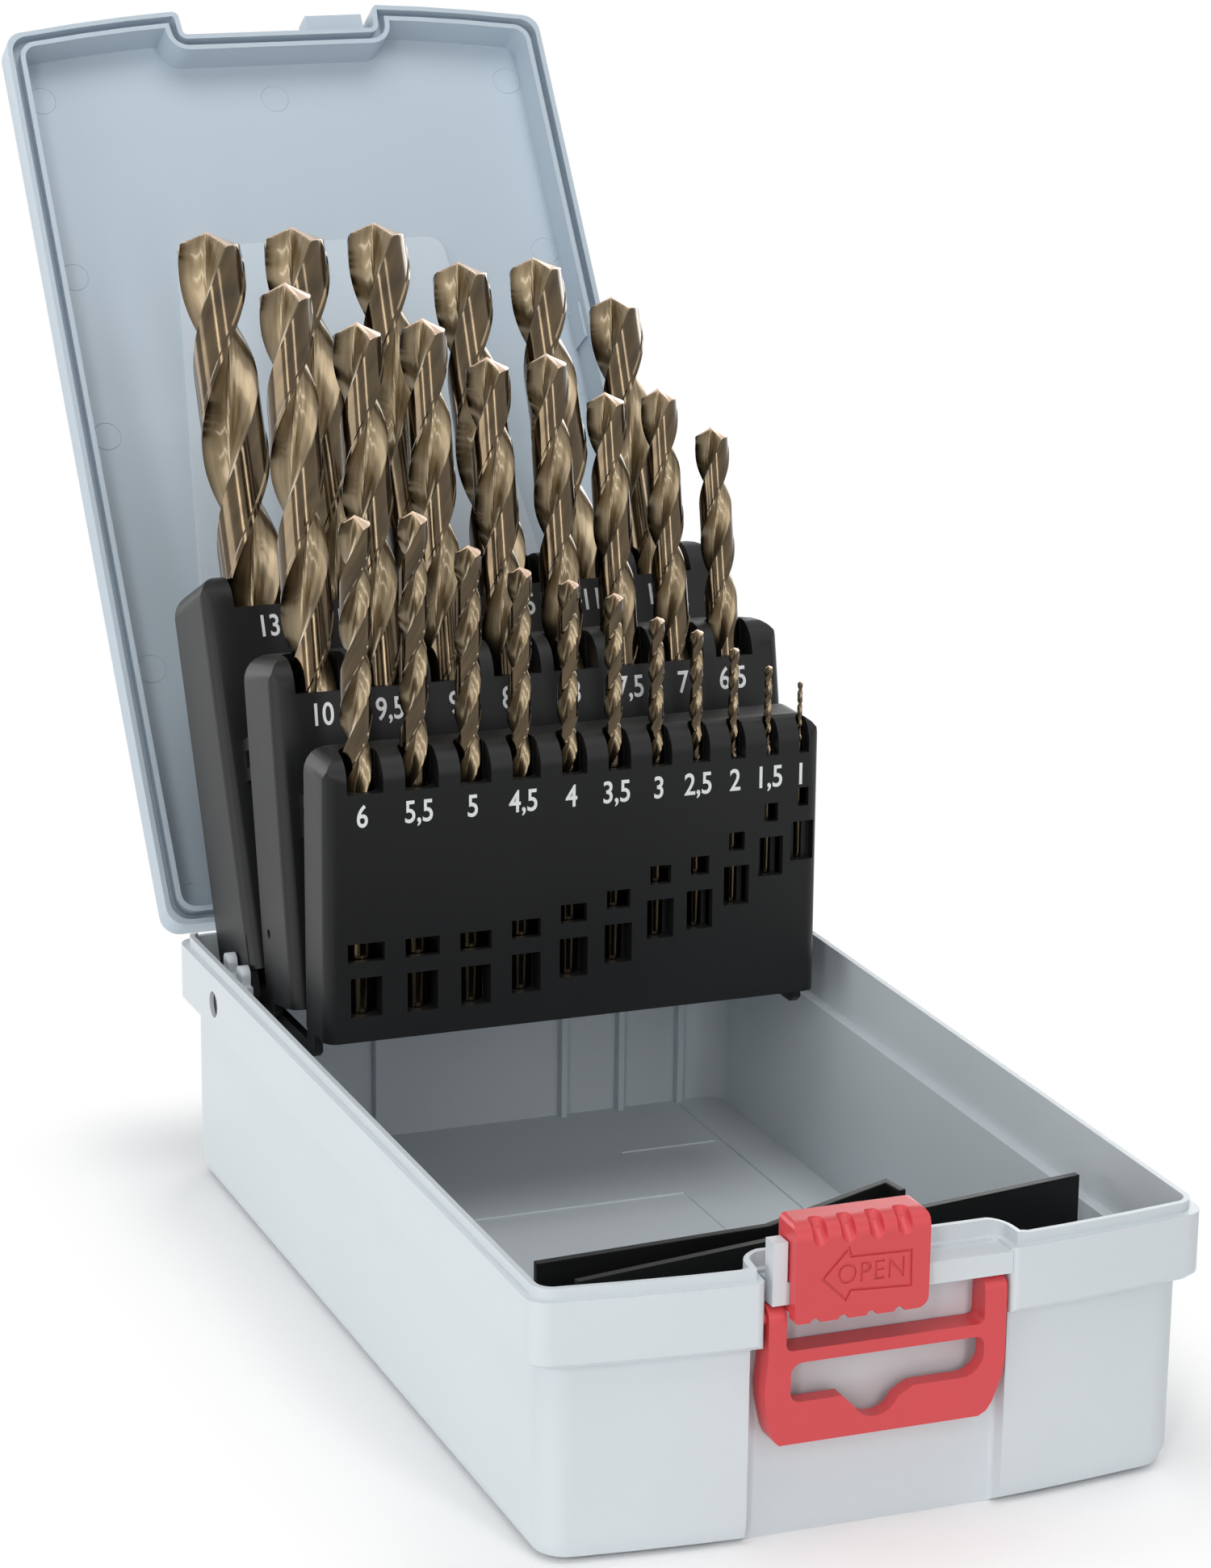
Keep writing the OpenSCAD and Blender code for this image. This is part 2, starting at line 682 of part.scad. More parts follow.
// The slider clasps the rail from below, rests on the ledge, and its flange holds the lid's tab
module latch_slider() {
    x0 = slider_x[0];
    x1 = slider_x[1];
    front = rail_y - slide_gap;
    back = rail_y + rail_t + slide_gap;
    ledge = rail_z + rail_h + slide_gap;
    flange_y = recess_y - 0.6;
    color([0.82, 0.22, 0.24])
    difference() {
        union() {
            intersection() {
                slider_bar(slider_side(front, flange_y, 1.4));
                translate([0, flange_y + 1, 0])
                    rotate([90, 0, 0])
                        linear_extrude(-front + flange_y + slider_t + 2)
                            polygon(slider_front());
            }
            slider_bar([[front - 0.1, rail_z - slide_gap - 1], [front - 0.1, rail_z - slide_gap],
                [back, rail_z - slide_gap], [back, ledge - 1.2 - 2 * slide_gap - 0.3],
                [back + 0.9, ledge - 1.2 - 2 * slide_gap - 0.3], [back + 0.9, rail_z - slide_gap - 1]]);
            slider_bar([[front - 0.1, ledge], [front - 0.1, ledge + 1.2], [flange_y, ledge + 1.2],
                [flange_y, ledge]]);
            box([x0, front - 0.1, ledge + 1], [x0 + 1.2, flange_y, slider_top - 1]);
        }
        // grip grooves over the top front edge, and the notches of the lower edge
        for (k = [0:3])
            translate([slider_grip_x(k), front - slider_t - 1.5, slider_top - slider_r - 0.5])
                rotate([-45, 0, 0])
                    cylinder(r = 1.3, h = slider_r * 2);
        for (k = [0:3])
            translate([slider_grip_x(k) - 0.6, front - slider_t - 1, slider_low - 0.2])
                rotate([-90, 0, 0])
                    cylinder(r = 0.9, h = slider_t + 2);
    }
}

bail_x = [latch_x - bail_w / 2, latch_x + bail_w / 2];
bail_flare = 0.5;
bail_low = peg_z - bail_h;
bail_bar = peg_z - bail_t / 2 - 3;
bail_plate = 3;
slot_x = [bail_x[0] + bail_arm + 0.9, bail_x[1] - bail_arm - 0.7];
slot_z = [bail_low + 7.2, bail_bar - 2.2];

// Lower corner of the bail, drawn in by g from its upper end at bail_bend
bail_bend = 9.5;
function bail_corner(s, x, g, k = 1) =
    [for (p = [[0, bail_bend], [0.35, 7], [0.9, 5.2], [1.5, 3.6], [2.1, 2.1], [3, 0.8], [4.4, 0]])
        [x - s * (p[0] * k + g), bail_low + p[1] + g * (1 - p[1] / bail_bend)]];

function turned(v) = [for (i = [len(v) - 1:-1:0]) v[i]];

module bail_outline(g = 0, top = peg_z) {
    polygon(concat([[bail_x[1] - g, top]], bail_corner(1, bail_x[1], g),
        turned(bail_corner(-1, bail_x[0] - bail_flare, g, 0.62)),
        [[bail_x[0] - bail_flare + g, max(bail_bar - 6, bail_low + bail_bend + 0.3)],
            [bail_x[0] + g, bail_bar - 1], [bail_x[0] + g, top]]));
}

// Space between the arms above the crossbar, with small round corners
module bail_space(top) {
    x0 = bail_x[0] + bail_arm;
    x1 = bail_x[1] - bail_arm - 0.8;
    polygon(concat([[x1, top], [x0, top]], arc(x0 + 1, bail_bar + 1, 1, 180, 270, 3),
        arc(x1 - 1, bail_bar + 1, 1, 270, 360, 3)));
}

// Hanging slot, with a deeper middle for a hook
module bail_slot() {
    polygon(concat(
        arc(slot_x[0] + 2, slot_z[1] - 2, 2, 180, 90, 4), arc(slot_x[1] - 1.4, slot_z[1] - 1.4, 1.4, 90, 0, 4),
        arc(slot_x[1] - 3.8, slot_z[0] + 3.8, 3.8, 0, -90, 6),
        [[bail_w * 0.125, slot_z[0]]], arc(-bail_w * 0.035, bail_low + 7, 4.2, -20, -150, 8),
        [[-bail_w * 0.175, slot_z[0]]], arc(slot_x[0] + 1.6, slot_z[0] + 1.6, 1.6, 270, 180, 4)));
}

module bail_layer(y0, y1) {
    translate([0, y1, 0])
        rotate([90, 0, 0])
            linear_extrude(y1 - y0)
                children();
}

module hang_bail() {
    y0 = peg_y - bail_t / 2;
    y1 = peg_y + bail_t / 2;
    color([0.82, 0.22, 0.24]) {
        difference() {
            union() {
                bail_layer(y0, y1)
                    bail_outline();
                x_rod(bail_t / 2 - 0.05, bail_x[0], bail_x[0] + bail_arm, peg_y, peg_z);
                x_rod(bail_t / 2 - 0.05, bail_x[1] - bail_arm - 0.8, bail_x[1], peg_y, peg_z);
            }
            bail_layer(y0 - 1, y1 + 1)
                bail_space(peg_z + 5);
            bail_layer(y0 - 1, y1 + 1)
                bail_slot();
            // the back is hollow inside its rim
            bail_layer(y0 + bail_plate, y1 + 1)
                intersection() {
                    bail_outline(1.6);
                    translate([bail_x[0], 0])
                        square([bail_w, bail_bar - 1.6]);
                }
        }
        for (s = [-1, 1])
            x_rod(peg_r, s > 0 ? bail_x[1] - 1 : recess_l - 1.8,
                s > 0 ? recess_r + 1.8 : bail_x[0] + 1, peg_y, peg_z);
    }
}

// ---------------------------------------------------------------- tip guard

front_y = -half_l;
guard_line = [[-inner_w + 8.4, front_y + 13.5], [-0.364 * inner_w, front_y + 17.7],
    [inner_w - 3.8, front_y + 29.5]];
guard_foot_y = recess_y + band_in + 0.5;
flap_line = [[-inner_w + 4.9, front_y + 23], [-0.146 * inner_w, front_y + 25.5],
    [0.346 * inner_w, front_y + 37.5], [0.361 * inner_w, front_y + 32.5]];

function side_of(a, b, t) =
    let(u = b - a, l = norm(u)) [-u[1] * t / l, u[0] * t / l];

// Corner of a strip of thickness t along the line, on its side s, mitred at the bends
function strip_point(line, t, s, i) =
    let(n = len(line) - 1, o = side_of(line[max(i - 1, 0)], line[max(i, 1)], 1),
        p = side_of(line[min(i, n - 1)], line[min(i + 1, n)], 1), m = o + p)
    line[i] + s * t / (m * m) * m;

module plate_along(line, t, z0, z1) {
    n = len(line) - 1;
    translate([0, 0, z0])
        linear_extrude(z1 - z0)
            polygon([for (i = [0:n]) strip_point(line, t, -1, i), for (i = [n:-1:0]) strip_point(line, t, 1, i)]);
}

module tip_guard() {
    color([0.16, 0.16, 0.17]) {
        plate_along(guard_line, guard_t, floor_t + 0.1, floor_t + guard_h);
        translate([0, 0, floor_t + 0.1])
            linear_extrude(guard_t)
                polygon([guard_line[0], [guard_line[0][0], guard_foot_y],
                    [guard_line[2][0], guard_foot_y], guard_line[2]]);
    }
}

module tip_flap() {
    color([0.12, 0.12, 0.13])
        plate_along(flap_line, guard_t, floor_t + 0.1, floor_t + guard_h);
}

// ---------------------------------------------------------------- drill bits

// Cross-section of the fluted part: a core with two lands, a little under the shank's size
function flute_section(d, k = 1) =
    let(r = d * 0.485 * k, c = 0.31 * d * k)
    [for (h = [0, 1]) for (p = [[r, 0], [r, 26], [r * 0.97, 52], [r * 0.86, 76], [c, 104], [c * 0.88, 140]])
        [p[0] * cos(p[1] + 180 * h), p[0] * sin(p[1] + 180 * h)]];

// A drill standing on its shank end
module drill(d, l, flute) {
    point_h = d / 2 / tan(67.5);
    lead = PI * d / tan(helix_angle);
    sunk = 0.05 * d;
    body_l = flute + sunk - point_h;
    twist = 360 * body_l / lead;
    cylinder(r = d / 2, h = l - flute);
    translate([0, 0, l - flute - sunk])
        linear_extrude(body_l, twist = -twist, slices = ceil(twist / 36), $fn = 12)
            polygon(flute_section(d));
    // the point, a smaller section drawn in to the chisel edge
    translate([0, 0, l - point_h - sunk])
        rotate(twist - 360 * sunk / lead)
            linear_extrude(point_h + sunk, scale = 0.08, $fn = 12)
                polygon(flute_section(d, 0.93));
}

bit_color = [0.62, 0.53, 0.40];

module bit_in(lean, n, x, d, l, flute, seat) {
    color(bit_color)
        lean_back(lean)
            translate([x, -n + bit_depth(d), seat + 0.2])
                drill(d, l, flute);
}

module large_bit(i) {
    bit_in(lean_large, large_n, large_x[i], large_d[i], large_len[i], large_flute[i],
        large_seat[i]);
}

module medium_bit(i) {
    bit_in(lean_medium, medium_n, medium_x[i], medium_d[i], medium_len[i], medium_flute[i],
        medium_seat[i]);
}

module small_bit(i) {
    bit_in(lean_small, small_n, small_x[i], small_d[i], small_len[i], small_flute[i],
        small_seat[i]);
}

base_shell();
lid_shell();
hinge_pin_left();
hinge_pin_right();
rack_large();
rack_medium();
rack_small();
rack_pin_left();
rack_pin_right();
latch_slider();
hang_bail();
tip_guard();
tip_flap();
large_bit(0);  // bit_13_0
large_bit(1);  // bit_12_5
large_bit(2);  // bit_12_0
large_bit(3);  // bit_11_5
large_bit(4);  // bit_11_0
large_bit(5);  // bit_10_5
medium_bit(0);  // bit_10_0
medium_bit(1);  // bit_9_5
medium_bit(2);  // bit_9_0
medium_bit(3);  // bit_8_5
medium_bit(4);  // bit_8_0
medium_bit(5);  // bit_7_5
medium_bit(6);  // bit_7_0
medium_bit(7);  // bit_6_5
small_bit(0);  // bit_6_0
small_bit(1);  // bit_5_5
small_bit(2);  // bit_5_0
small_bit(3);  // bit_4_5
small_bit(4);  // bit_4_0
small_bit(5);  // bit_3_5
small_bit(6);  // bit_3_0
small_bit(7);  // bit_2_5
small_bit(8);  // bit_2_0
small_bit(9);  // bit_1_5
small_bit(10);  // bit_1_0
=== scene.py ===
# %% [markdown]
# # A drill bit case, standing open
#
# The object is a moulded plastic case with a hinged lid. Three black racks fan out of it on one pivot
# line and hold twenty-five twist drills, from 13 mm down to 1 mm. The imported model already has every
# piece at its real size and place, so this notebook gives each piece its finished form and surface.

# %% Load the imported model
import json
import math

import bmesh
import bpy
from mathutils import Matrix, Vector


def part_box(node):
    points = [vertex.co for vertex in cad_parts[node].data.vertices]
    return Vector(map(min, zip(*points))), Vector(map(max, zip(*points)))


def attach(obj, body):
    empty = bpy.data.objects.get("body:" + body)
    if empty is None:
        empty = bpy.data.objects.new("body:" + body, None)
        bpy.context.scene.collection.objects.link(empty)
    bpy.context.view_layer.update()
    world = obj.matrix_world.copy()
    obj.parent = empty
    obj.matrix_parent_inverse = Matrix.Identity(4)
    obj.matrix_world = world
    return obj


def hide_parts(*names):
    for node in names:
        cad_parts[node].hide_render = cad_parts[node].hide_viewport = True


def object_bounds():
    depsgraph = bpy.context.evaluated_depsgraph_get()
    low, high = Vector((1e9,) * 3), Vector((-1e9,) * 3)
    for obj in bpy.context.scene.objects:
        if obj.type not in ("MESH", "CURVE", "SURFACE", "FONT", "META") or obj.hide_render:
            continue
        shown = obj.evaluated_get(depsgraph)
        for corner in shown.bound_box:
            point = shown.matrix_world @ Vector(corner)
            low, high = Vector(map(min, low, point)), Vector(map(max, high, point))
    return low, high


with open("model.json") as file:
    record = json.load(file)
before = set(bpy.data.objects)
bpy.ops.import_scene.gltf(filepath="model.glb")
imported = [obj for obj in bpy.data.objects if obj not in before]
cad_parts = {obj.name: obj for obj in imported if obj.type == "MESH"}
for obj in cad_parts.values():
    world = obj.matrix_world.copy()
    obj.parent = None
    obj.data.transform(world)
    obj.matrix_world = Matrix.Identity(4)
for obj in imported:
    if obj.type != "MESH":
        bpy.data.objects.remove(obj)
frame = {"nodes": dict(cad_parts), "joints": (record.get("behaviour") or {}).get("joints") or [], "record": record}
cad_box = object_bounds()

MM = 0.001

# %% [markdown]
# ## Colours and nodes
#
# Colours are written as the sRGB hex values that a colour picker shows. Blender's sockets want linear
# light, so one function turns them. One more function adds a node with its settings and its links,
# which keeps each material short enough to read in one go, and a third starts an empty material.

# %% Three small helpers
def hex_colour(code):
    """An sRGB hex value as linear light."""
    parts = [int(code[i:i + 2], 16) / 255 for i in (1, 3, 5)]
    linear = [p / 12.92 if p <= 0.04045 else ((p + 0.055) / 1.055) ** 2.4 for p in parts]
    return (*linear, 1.0)


def add(tree, kind, props=None, **inputs):
    """Adds a node. Sockets are given by name with underscores, or by number as _0, _1."""
    node = tree.nodes.new(kind)
    for key, value in (props or {}).items():
        setattr(node, key, value)
    for key, value in inputs.items():
        by_number = key[0] == "_" and key[1:].isdigit()
        socket = node.inputs[int(key[1:]) if by_number else key.replace("_", " ")]
        if isinstance(value, bpy.types.NodeSocket):
            tree.links.new(value, socket)
        else:
            socket.default_value = value
    return node


def blank_material(name):
    """A new material and its node tree, with nothing in it."""
    material = bpy.data.materials.new(name)
    material.use_nodes = True
    material.node_tree.nodes.clear()
    return material, material.node_tree


WHITE = hex_colour("#FFFFFF")
print("mid grey #808080 is", round(hex_colour("#808080")[0], 3), "in linear light")

# %% [markdown]
# ## Camera
#
# The photograph was taken with a long lens from the front left, a little above the case. A long lens
# keeps the case's edges nearly parallel. The frame is portrait, 1500 by 1942, and the lens looks a
# little below and left of its middle, which the two shifts repeat.

# %% Place the camera
FRAME_W, FRAME_H = 1500, 1942
SENSOR_MM = 36
FOCAL_PX = 5455.0
AXIS_PX = (610.0, 1111.6)
CAMERA_PLACE = (-0.28493, -0.69352, 0.31142)
AZIMUTH, ELEVATION, ROLL = -20.198, 17.310, 0.219

camera_data = bpy.data.cameras.new("camera")
camera_data.sensor_fit = "VERTICAL"
camera_data.sensor_height = SENSOR_MM
camera_data.lens = SENSOR_MM * FOCAL_PX / FRAME_H
camera_data.shift_x = (FRAME_W / 2 - AXIS_PX[0]) / FRAME_H
camera_data.shift_y = (AXIS_PX[1] - FRAME_H / 2) / FRAME_H
camera_data.clip_start = 0.01
camera = bpy.data.objects.new("camera", camera_data)
bpy.context.scene.collection.objects.link(camera)
az, el, roll = (math.radians(a) for a in (AZIMUTH, ELEVATION, ROLL))
back = Vector((math.sin(az) * math.cos(el), -math.cos(az) * math.cos(el), math.sin(el)))
right = (-back).cross(Vector((0, 0, 1))).normalized()
up = right.cross(-back)
turn = Matrix((right, up, back)).transposed().to_4x4()
camera.matrix_world = Matrix.Translation(CAMERA_PLACE) @ turn @ Matrix.Rotation(roll, 4, "Z")
bpy.context.scene.camera = camera
print("lens", round(camera_data.lens, 1), "mm")

# %% [markdown]
# ## Light and background
#
# The photograph is a studio shot: a white surround, a low soft box on the left, one above, two behind that
# fill the back, and two narrow upright strip lights near the camera. The strips draw the two cream lines
# down every drill, because a cylinder shows an upright lamp as an upright line. The world is dim, so the
# inside of the case falls into shade, but the camera and every mirror surface see it as plain white.

# %% White room
ROOM_LIGHT = 0.09
world = bpy.data.worlds.new("white room")
bpy.context.scene.world = world
world.use_nodes = True


def seen_directly(tree):
    """1 for camera, mirror and see-through rays, 0 for the rays that light the object."""
    ray = add(tree, "ShaderNodeLightPath").outputs
    seen = add(tree, "ShaderNodeMath", {"operation": "MAXIMUM"}, _0=ray["Is Camera Ray"],
               _1=ray["Is Transmission Ray"])
    return add(tree, "ShaderNodeMath", {"operation": "MAXIMUM"}, _0=seen.outputs[0],
               _1=ray["Is Glossy Ray"]).outputs[0]


tree = world.node_tree
tree.nodes.clear()
room = add(tree, "ShaderNodeBackground", Color=WHITE, Strength=ROOM_LIGHT)
plain = add(tree, "ShaderNodeBackground", Color=WHITE, Strength=1.0)
both = add(tree, "ShaderNodeMixShader", _0=seen_directly(tree), _1=room.outputs[0], _2=plain.outputs[0])
add(tree, "ShaderNodeOutputWorld", Surface=both.outputs[0])
print(world.name, "lights the object with strength", ROOM_LIGHT)

# %% Lamps
CENTRE = Vector((0, 0.03, 0.08))
STRIP_DISTANCE, STRIP_HEIGHT = 1.5, 0.60


def soft_box(name, place, size, watts):
    """A rectangular lamp at a place, facing the middle of the object."""
    lamp = bpy.data.lights.new(name, "AREA")
    lamp.shape = "RECTANGLE"
    lamp.size, lamp.size_y = size
    lamp.energy = watts
    obj = bpy.data.objects.new(name, lamp)
    bpy.context.scene.collection.objects.link(obj)
    obj.location = place
    obj.rotation_euler = (CENTRE - Vector(place)).to_track_quat("-Z", "Y").to_euler()


def beside_camera(degrees):
    """A place on a circle round the object, so many degrees to the right of the camera."""
    turned = math.radians(AZIMUTH + degrees)
    across, before = math.sin(turned) * STRIP_DISTANCE, -math.cos(turned) * STRIP_DISTANCE
    return CENTRE + Vector((across, before, STRIP_HEIGHT))


# place and size in metres, then watts
LAMPS = {
    "box_left": ((-1.35, -0.25, 0.28), (1.2, 0.55), 6.6),
    "box_behind_left": ((-0.9, 1.2, 0.35), (1.0, 0.7), 5),
    "box_behind_right": ((1.1, 0.9, 0.5), (1.2, 0.8), 9),
    "box_above": ((-0.1, -0.35, 1.5), (1.3, 1.1), 11),
    "strip_left": (beside_camera(-14), (0.19, 1.2), 5.2),
    "strip_right": (beside_camera(29), (0.21, 1.2), 5.6),
}
for name, (place, size, watts) in LAMPS.items():
    soft_box(name, place, size, watts)
print(len(LAMPS), "lamps,", round(sum(watts for _, _, watts in LAMPS.values()), 1), "watts")

# %% [markdown]
# ## Floor
#
# The object stands on white paper. Beside the object the paper is lit like anything else, so it keeps
# the soft shadow. From there it fades, and a few centimetres out the camera sees it as pure white.

# %% Paper
FLOOR_SIZE = 6
# distances from the case's outline between which the paper fades to white, in metres
SHADOW_REACH, WHITE_FROM = 0.0, 0.035
bpy.ops.mesh.primitive_plane_add(size=FLOOR_SIZE, location=(0, 0, 0))
floor = bpy.context.object
floor.name = "floor"
paper, tree = blank_material("white paper sweep")
place = add(tree, "ShaderNodeTexCoord").outputs["Object"]
fibres = add(tree, "ShaderNodeTexNoise", Vector=place, Scale=900.0, Detail=2.0)
tooth = add(tree, "ShaderNodeBump", Height=fibres.outputs["Fac"], Distance=0.00002)
lit = add(tree, "ShaderNodeBsdfPrincipled", Base_Color=hex_colour("#FCFCFC"), Roughness=0.9,
          Normal=tooth.outputs[0])
white = add(tree, "ShaderNodeEmission", Color=WHITE, Strength=1.0)
# distance from the box that the case stands in, seen from above
span = add(tree, "ShaderNodeVectorMath", {"operation": "ABSOLUTE"}, _0=place)
past = add(tree, "ShaderNodeVectorMath", {"operation": "SUBTRACT"}, _0=span.outputs[0],
           _1=(cad_box[1][0], -cad_box[0][1], 0.0))
past = add(tree, "ShaderNodeVectorMath", {"operation": "MAXIMUM"}, _0=past.outputs[0], _1=(0, 0, 0))
away = add(tree, "ShaderNodeVectorMath", {"operation": "LENGTH"}, _0=past.outputs[0])
fade = add(tree, "ShaderNodeMapRange", {"interpolation_type": "SMOOTHSTEP"}, Value=away.outputs["Value"],
           From_Min=SHADOW_REACH, From_Max=WHITE_FROM)
share = add(tree, "ShaderNodeMath", {"operation": "MULTIPLY"}, _0=fade.outputs[0],
            _1=seen_directly(tree))
both = add(tree, "ShaderNodeMixShader", _0=share.outputs[0], _1=lit.outputs[0], _2=white.outputs[0])
add(tree, "ShaderNodeOutputMaterial", Surface=both.outputs[0])
floor.data.materials.append(paper)
print(floor.name, FLOOR_SIZE, "m wide, white from", WHITE_FROM, "m")

# %% [markdown]
# ## Moulded plastics
#
# The case is injection-moulded polypropylene: a satin skin with a very fine spark-eroded grain from
# the mould, and slow changes of colour and gloss where the melt flowed. One recipe makes every colour,
# because only pigment and polish differ.

# %% Plastic recipe
# flow marks: how many to a metre, and how far the roughness swings over them
FLOW_SCALE, FLOW_GLOSS = 28.0, 0.03


def moulded_polypropylene(name, colour, roughness, grain_mm=0.35, depth_mm=0.006, mottled=0.02, bend=1.49):
    """Pigmented plastic. grain_mm is the size of the mould's grain, depth_mm its height, bend its IOR."""
    mat, tree = blank_material(name)
    place = add(tree, "ShaderNodeTexCoord").outputs["Object"]
    clouds = add(tree, "ShaderNodeTexNoise", Vector=place, Scale=FLOW_SCALE, Detail=3.0)
    grain = add(tree, "ShaderNodeTexNoise", Vector=place, Scale=1 / (grain_mm * MM), Detail=2.0)
    pigment = hex_colour(colour)
    darker = tuple(c * (1 - 2 * mottled) for c in pigment[:3]) + (1,)
    lighter = tuple(min(1, c * (1 + mottled)) for c in pigment[:3]) + (1,)
    tint = add(tree, "ShaderNodeMix", {"data_type": "RGBA"},
               _0=clouds.outputs["Fac"], _6=darker, _7=lighter)
    gloss = add(tree, "ShaderNodeMapRange", Value=clouds.outputs["Fac"], From_Min=0.3, From_Max=0.7,
                To_Min=roughness - FLOW_GLOSS, To_Max=roughness + FLOW_GLOSS)
    skin = add(tree, "ShaderNodeBump", Height=grain.outputs["Fac"], Distance=depth_mm * MM,
               Strength=1.0)
    shader = add(tree, "ShaderNodeBsdfPrincipled", Base_Color=tint.outputs[2],
                 Roughness=gloss.outputs[0], Normal=skin.outputs[0], IOR=bend)
    add(tree, "ShaderNodeOutputMaterial", Surface=shader.outputs[0])
    return mat


light_grey = moulded_polypropylene("light grey polypropylene", "#D2D9DD", 0.42)
blue_grey = moulded_polypropylene("blue-grey polypropylene", "#B7C5D0", 0.40)
red = moulded_polypropylene("red polypropylene", "#D2454A", 0.38)
# carbon black swallows the light inside, and the matt grain takes the shine off, hence the low IOR
black = moulded_polypropylene("black polypropylene", "#141516", 0.44, grain_mm=0.5, depth_mm=0.01,
                              mottled=0.1, bend=1.33)
print([plastic.name for plastic in (light_grey, blue_grey, red, black)])

# %% [markdown]
# ## Steel
#
# The drills are cobalt high-speed steel, tempered to a thin bronze oxide film. Three finishes show. The
# lands and shanks are ground round and nearly polished, with sharp bright lines. Their colour is darker
# than the oxide film alone, a painted reflection of dark surroundings. The flutes are ground along their
# length with a coarser wheel, which leaves streaks that follow the helix.
# The point is ground last, through the film, so it is pale. The drill's mesh says which is which in two
# attributes, and its UV map runs round in U and along in V, in centimetres.

# %% Tempered steel
# darkest and palest oxide film of each finish, and how rough each finish is; the land's tints are
# darkened past the film's colour as a painted reflection of dark surroundings
LAND_TINTS_WITH_PAINTED_REFLECTION, LAND_ROUGHNESS = ("#3D311F", "#5A4A31"), 0.10
FLUTE_TINTS, FLUTE_ROUGHNESS = ("#4E4029", "#978669"), 0.34
POINT_TINT, POINT_ROUGHER, STREAKS_ROUGHER = "#C9AE97", 0.18, 0.08
# grinding streaks and stains, as so many round the drill and so many to a centimetre along it
STREAKS, STAINS = (42.0, 0.7, 1.0), (9.0, 0.9, 1.0)


def tempered_steel(name):
    """Bronze steel that reads the attributes land (1 polished, 0 flute) and point (1 bare grinding)."""
    mat, tree = blank_material(name)
    uv = add(tree, "ShaderNodeUVMap", {"uv_map": "UVMap"}).outputs[0]
    land = add(tree, "ShaderNodeAttribute", {"attribute_name": "land"}).outputs["Fac"]
    point = add(tree, "ShaderNodeAttribute", {"attribute_name": "point"}).outputs["Fac"]
    along = add(tree, "ShaderNodeMapping", Vector=uv, Scale=STREAKS)
    streaks = add(tree, "ShaderNodeTexNoise", Vector=along.outputs[0], Scale=1.0, Detail=3.0).outputs["Fac"]
    wide = add(tree, "ShaderNodeMapping", Vector=uv, Scale=STAINS)
    stains = add(tree, "ShaderNodeTexNoise", Vector=wide.outputs[0], Scale=1.0, Detail=2.0).outputs["Fac"]
    even = add(tree, "ShaderNodeMapRange", Value=stains, From_Min=0.32, From_Max=0.68).outputs[0]
    fine = add(tree, "ShaderNodeMapRange", Value=streaks, From_Min=0.3, From_Max=0.7).outputs[0]
    mixed = add(tree, "ShaderNodeMath", {"operation": "MULTIPLY_ADD"}, _0=fine, _1=0.55,
                _2=add(tree, "ShaderNodeMath", {"operation": "MULTIPLY"}, _0=even, _1=0.45).outputs[0])
    flute_tint = add(tree, "ShaderNodeMix", {"data_type": "RGBA"}, _0=mixed.outputs[0],
                     _6=hex_colour(FLUTE_TINTS[0]), _7=hex_colour(FLUTE_TINTS[1])).outputs[2]
    # the land's darker tint is a painted reflection of dark surroundings, over the oxide film's colour
    land_tint_with_painted_reflection = add(tree, "ShaderNodeMix", {"data_type": "RGBA"}, _0=even,
                    _6=hex_colour(LAND_TINTS_WITH_PAINTED_REFLECTION[0]), _7=hex_colour(LAND_TINTS_WITH_PAINTED_REFLECTION[1])).outputs[2]
    tint = add(tree, "ShaderNodeMix", {"data_type": "RGBA"}, _0=land, _6=flute_tint, _7=land_tint_with_painted_reflection)
    tint = add(tree, "ShaderNodeMix", {"data_type": "RGBA"}, _0=point, _6=tint.outputs[2],
               _7=hex_colour(POINT_TINT))
    gloss = add(tree, "ShaderNodeMapRange", Value=land, To_Min=FLUTE_ROUGHNESS,
                To_Max=LAND_ROUGHNESS).outputs[0]
    gloss = add(tree, "ShaderNodeMath", {"operation": "MULTIPLY_ADD"}, _0=point, _1=POINT_ROUGHER,
                _2=gloss)
    gloss = add(tree, "ShaderNodeMath", {"operation": "MULTIPLY_ADD"}, _0=streaks, _1=STREAKS_ROUGHER,
                _2=gloss.outputs[0])
    depth = add(tree, "ShaderNodeMapRange", Value=land, To_Min=0.35, To_Max=0.1).outputs[0]
    scratches = add(tree, "ShaderNodeBump", Height=streaks, Distance=0.00002, Strength=depth)
    shader = add(tree, "ShaderNodeBsdfPrincipled", Base_Color=tint.outputs[2], Metallic=1.0,
                 Roughness=gloss.outputs[0], Normal=scratches.outputs[0], Coat_Weight=0.65,
                 Coat_Roughness=0.1)
    add(tree, "ShaderNodeOutputMaterial", Surface=shader.outputs[0])
    return mat


amber_steel = tempered_steel("amber tempered high-speed steel")
print(amber_steel.name, "with", len(amber_steel.node_tree.nodes), "nodes")

# %% Drawn wire
# drawing lines, as so many to a metre along the wire and across it
DRAWN_LINES = (60.0, 2500.0, 2500.0)


def drawn_wire(name, colour):
    """Bright steel wire with fine lines along X, the way it was drawn."""
    mat, tree = blank_material(name)
    place = add(tree, "ShaderNodeTexCoord").outputs["Object"]
    along = add(tree, "ShaderNodeMapping", Vector=place, Scale=DRAWN_LINES)
    lines = add(tree, "ShaderNodeTexNoise", Vector=along.outputs[0], Scale=1.0, Detail=2.0)
    gloss = add(tree, "ShaderNodeMapRange", Value=lines.outputs["Fac"], To_Min=0.22, To_Max=0.4)
    shader = add(tree, "ShaderNodeBsdfPrincipled", Base_Color=hex_colour(colour), Metallic=1.0,
                 Roughness=gloss.outputs[0])
    add(tree, "ShaderNodeOutputMaterial", Surface=shader.outputs[0])
    return mat


wire = drawn_wire("drawn steel wire", "#A2A2A2")
print(wire.name, "with", len(wire.node_tree.nodes), "nodes")

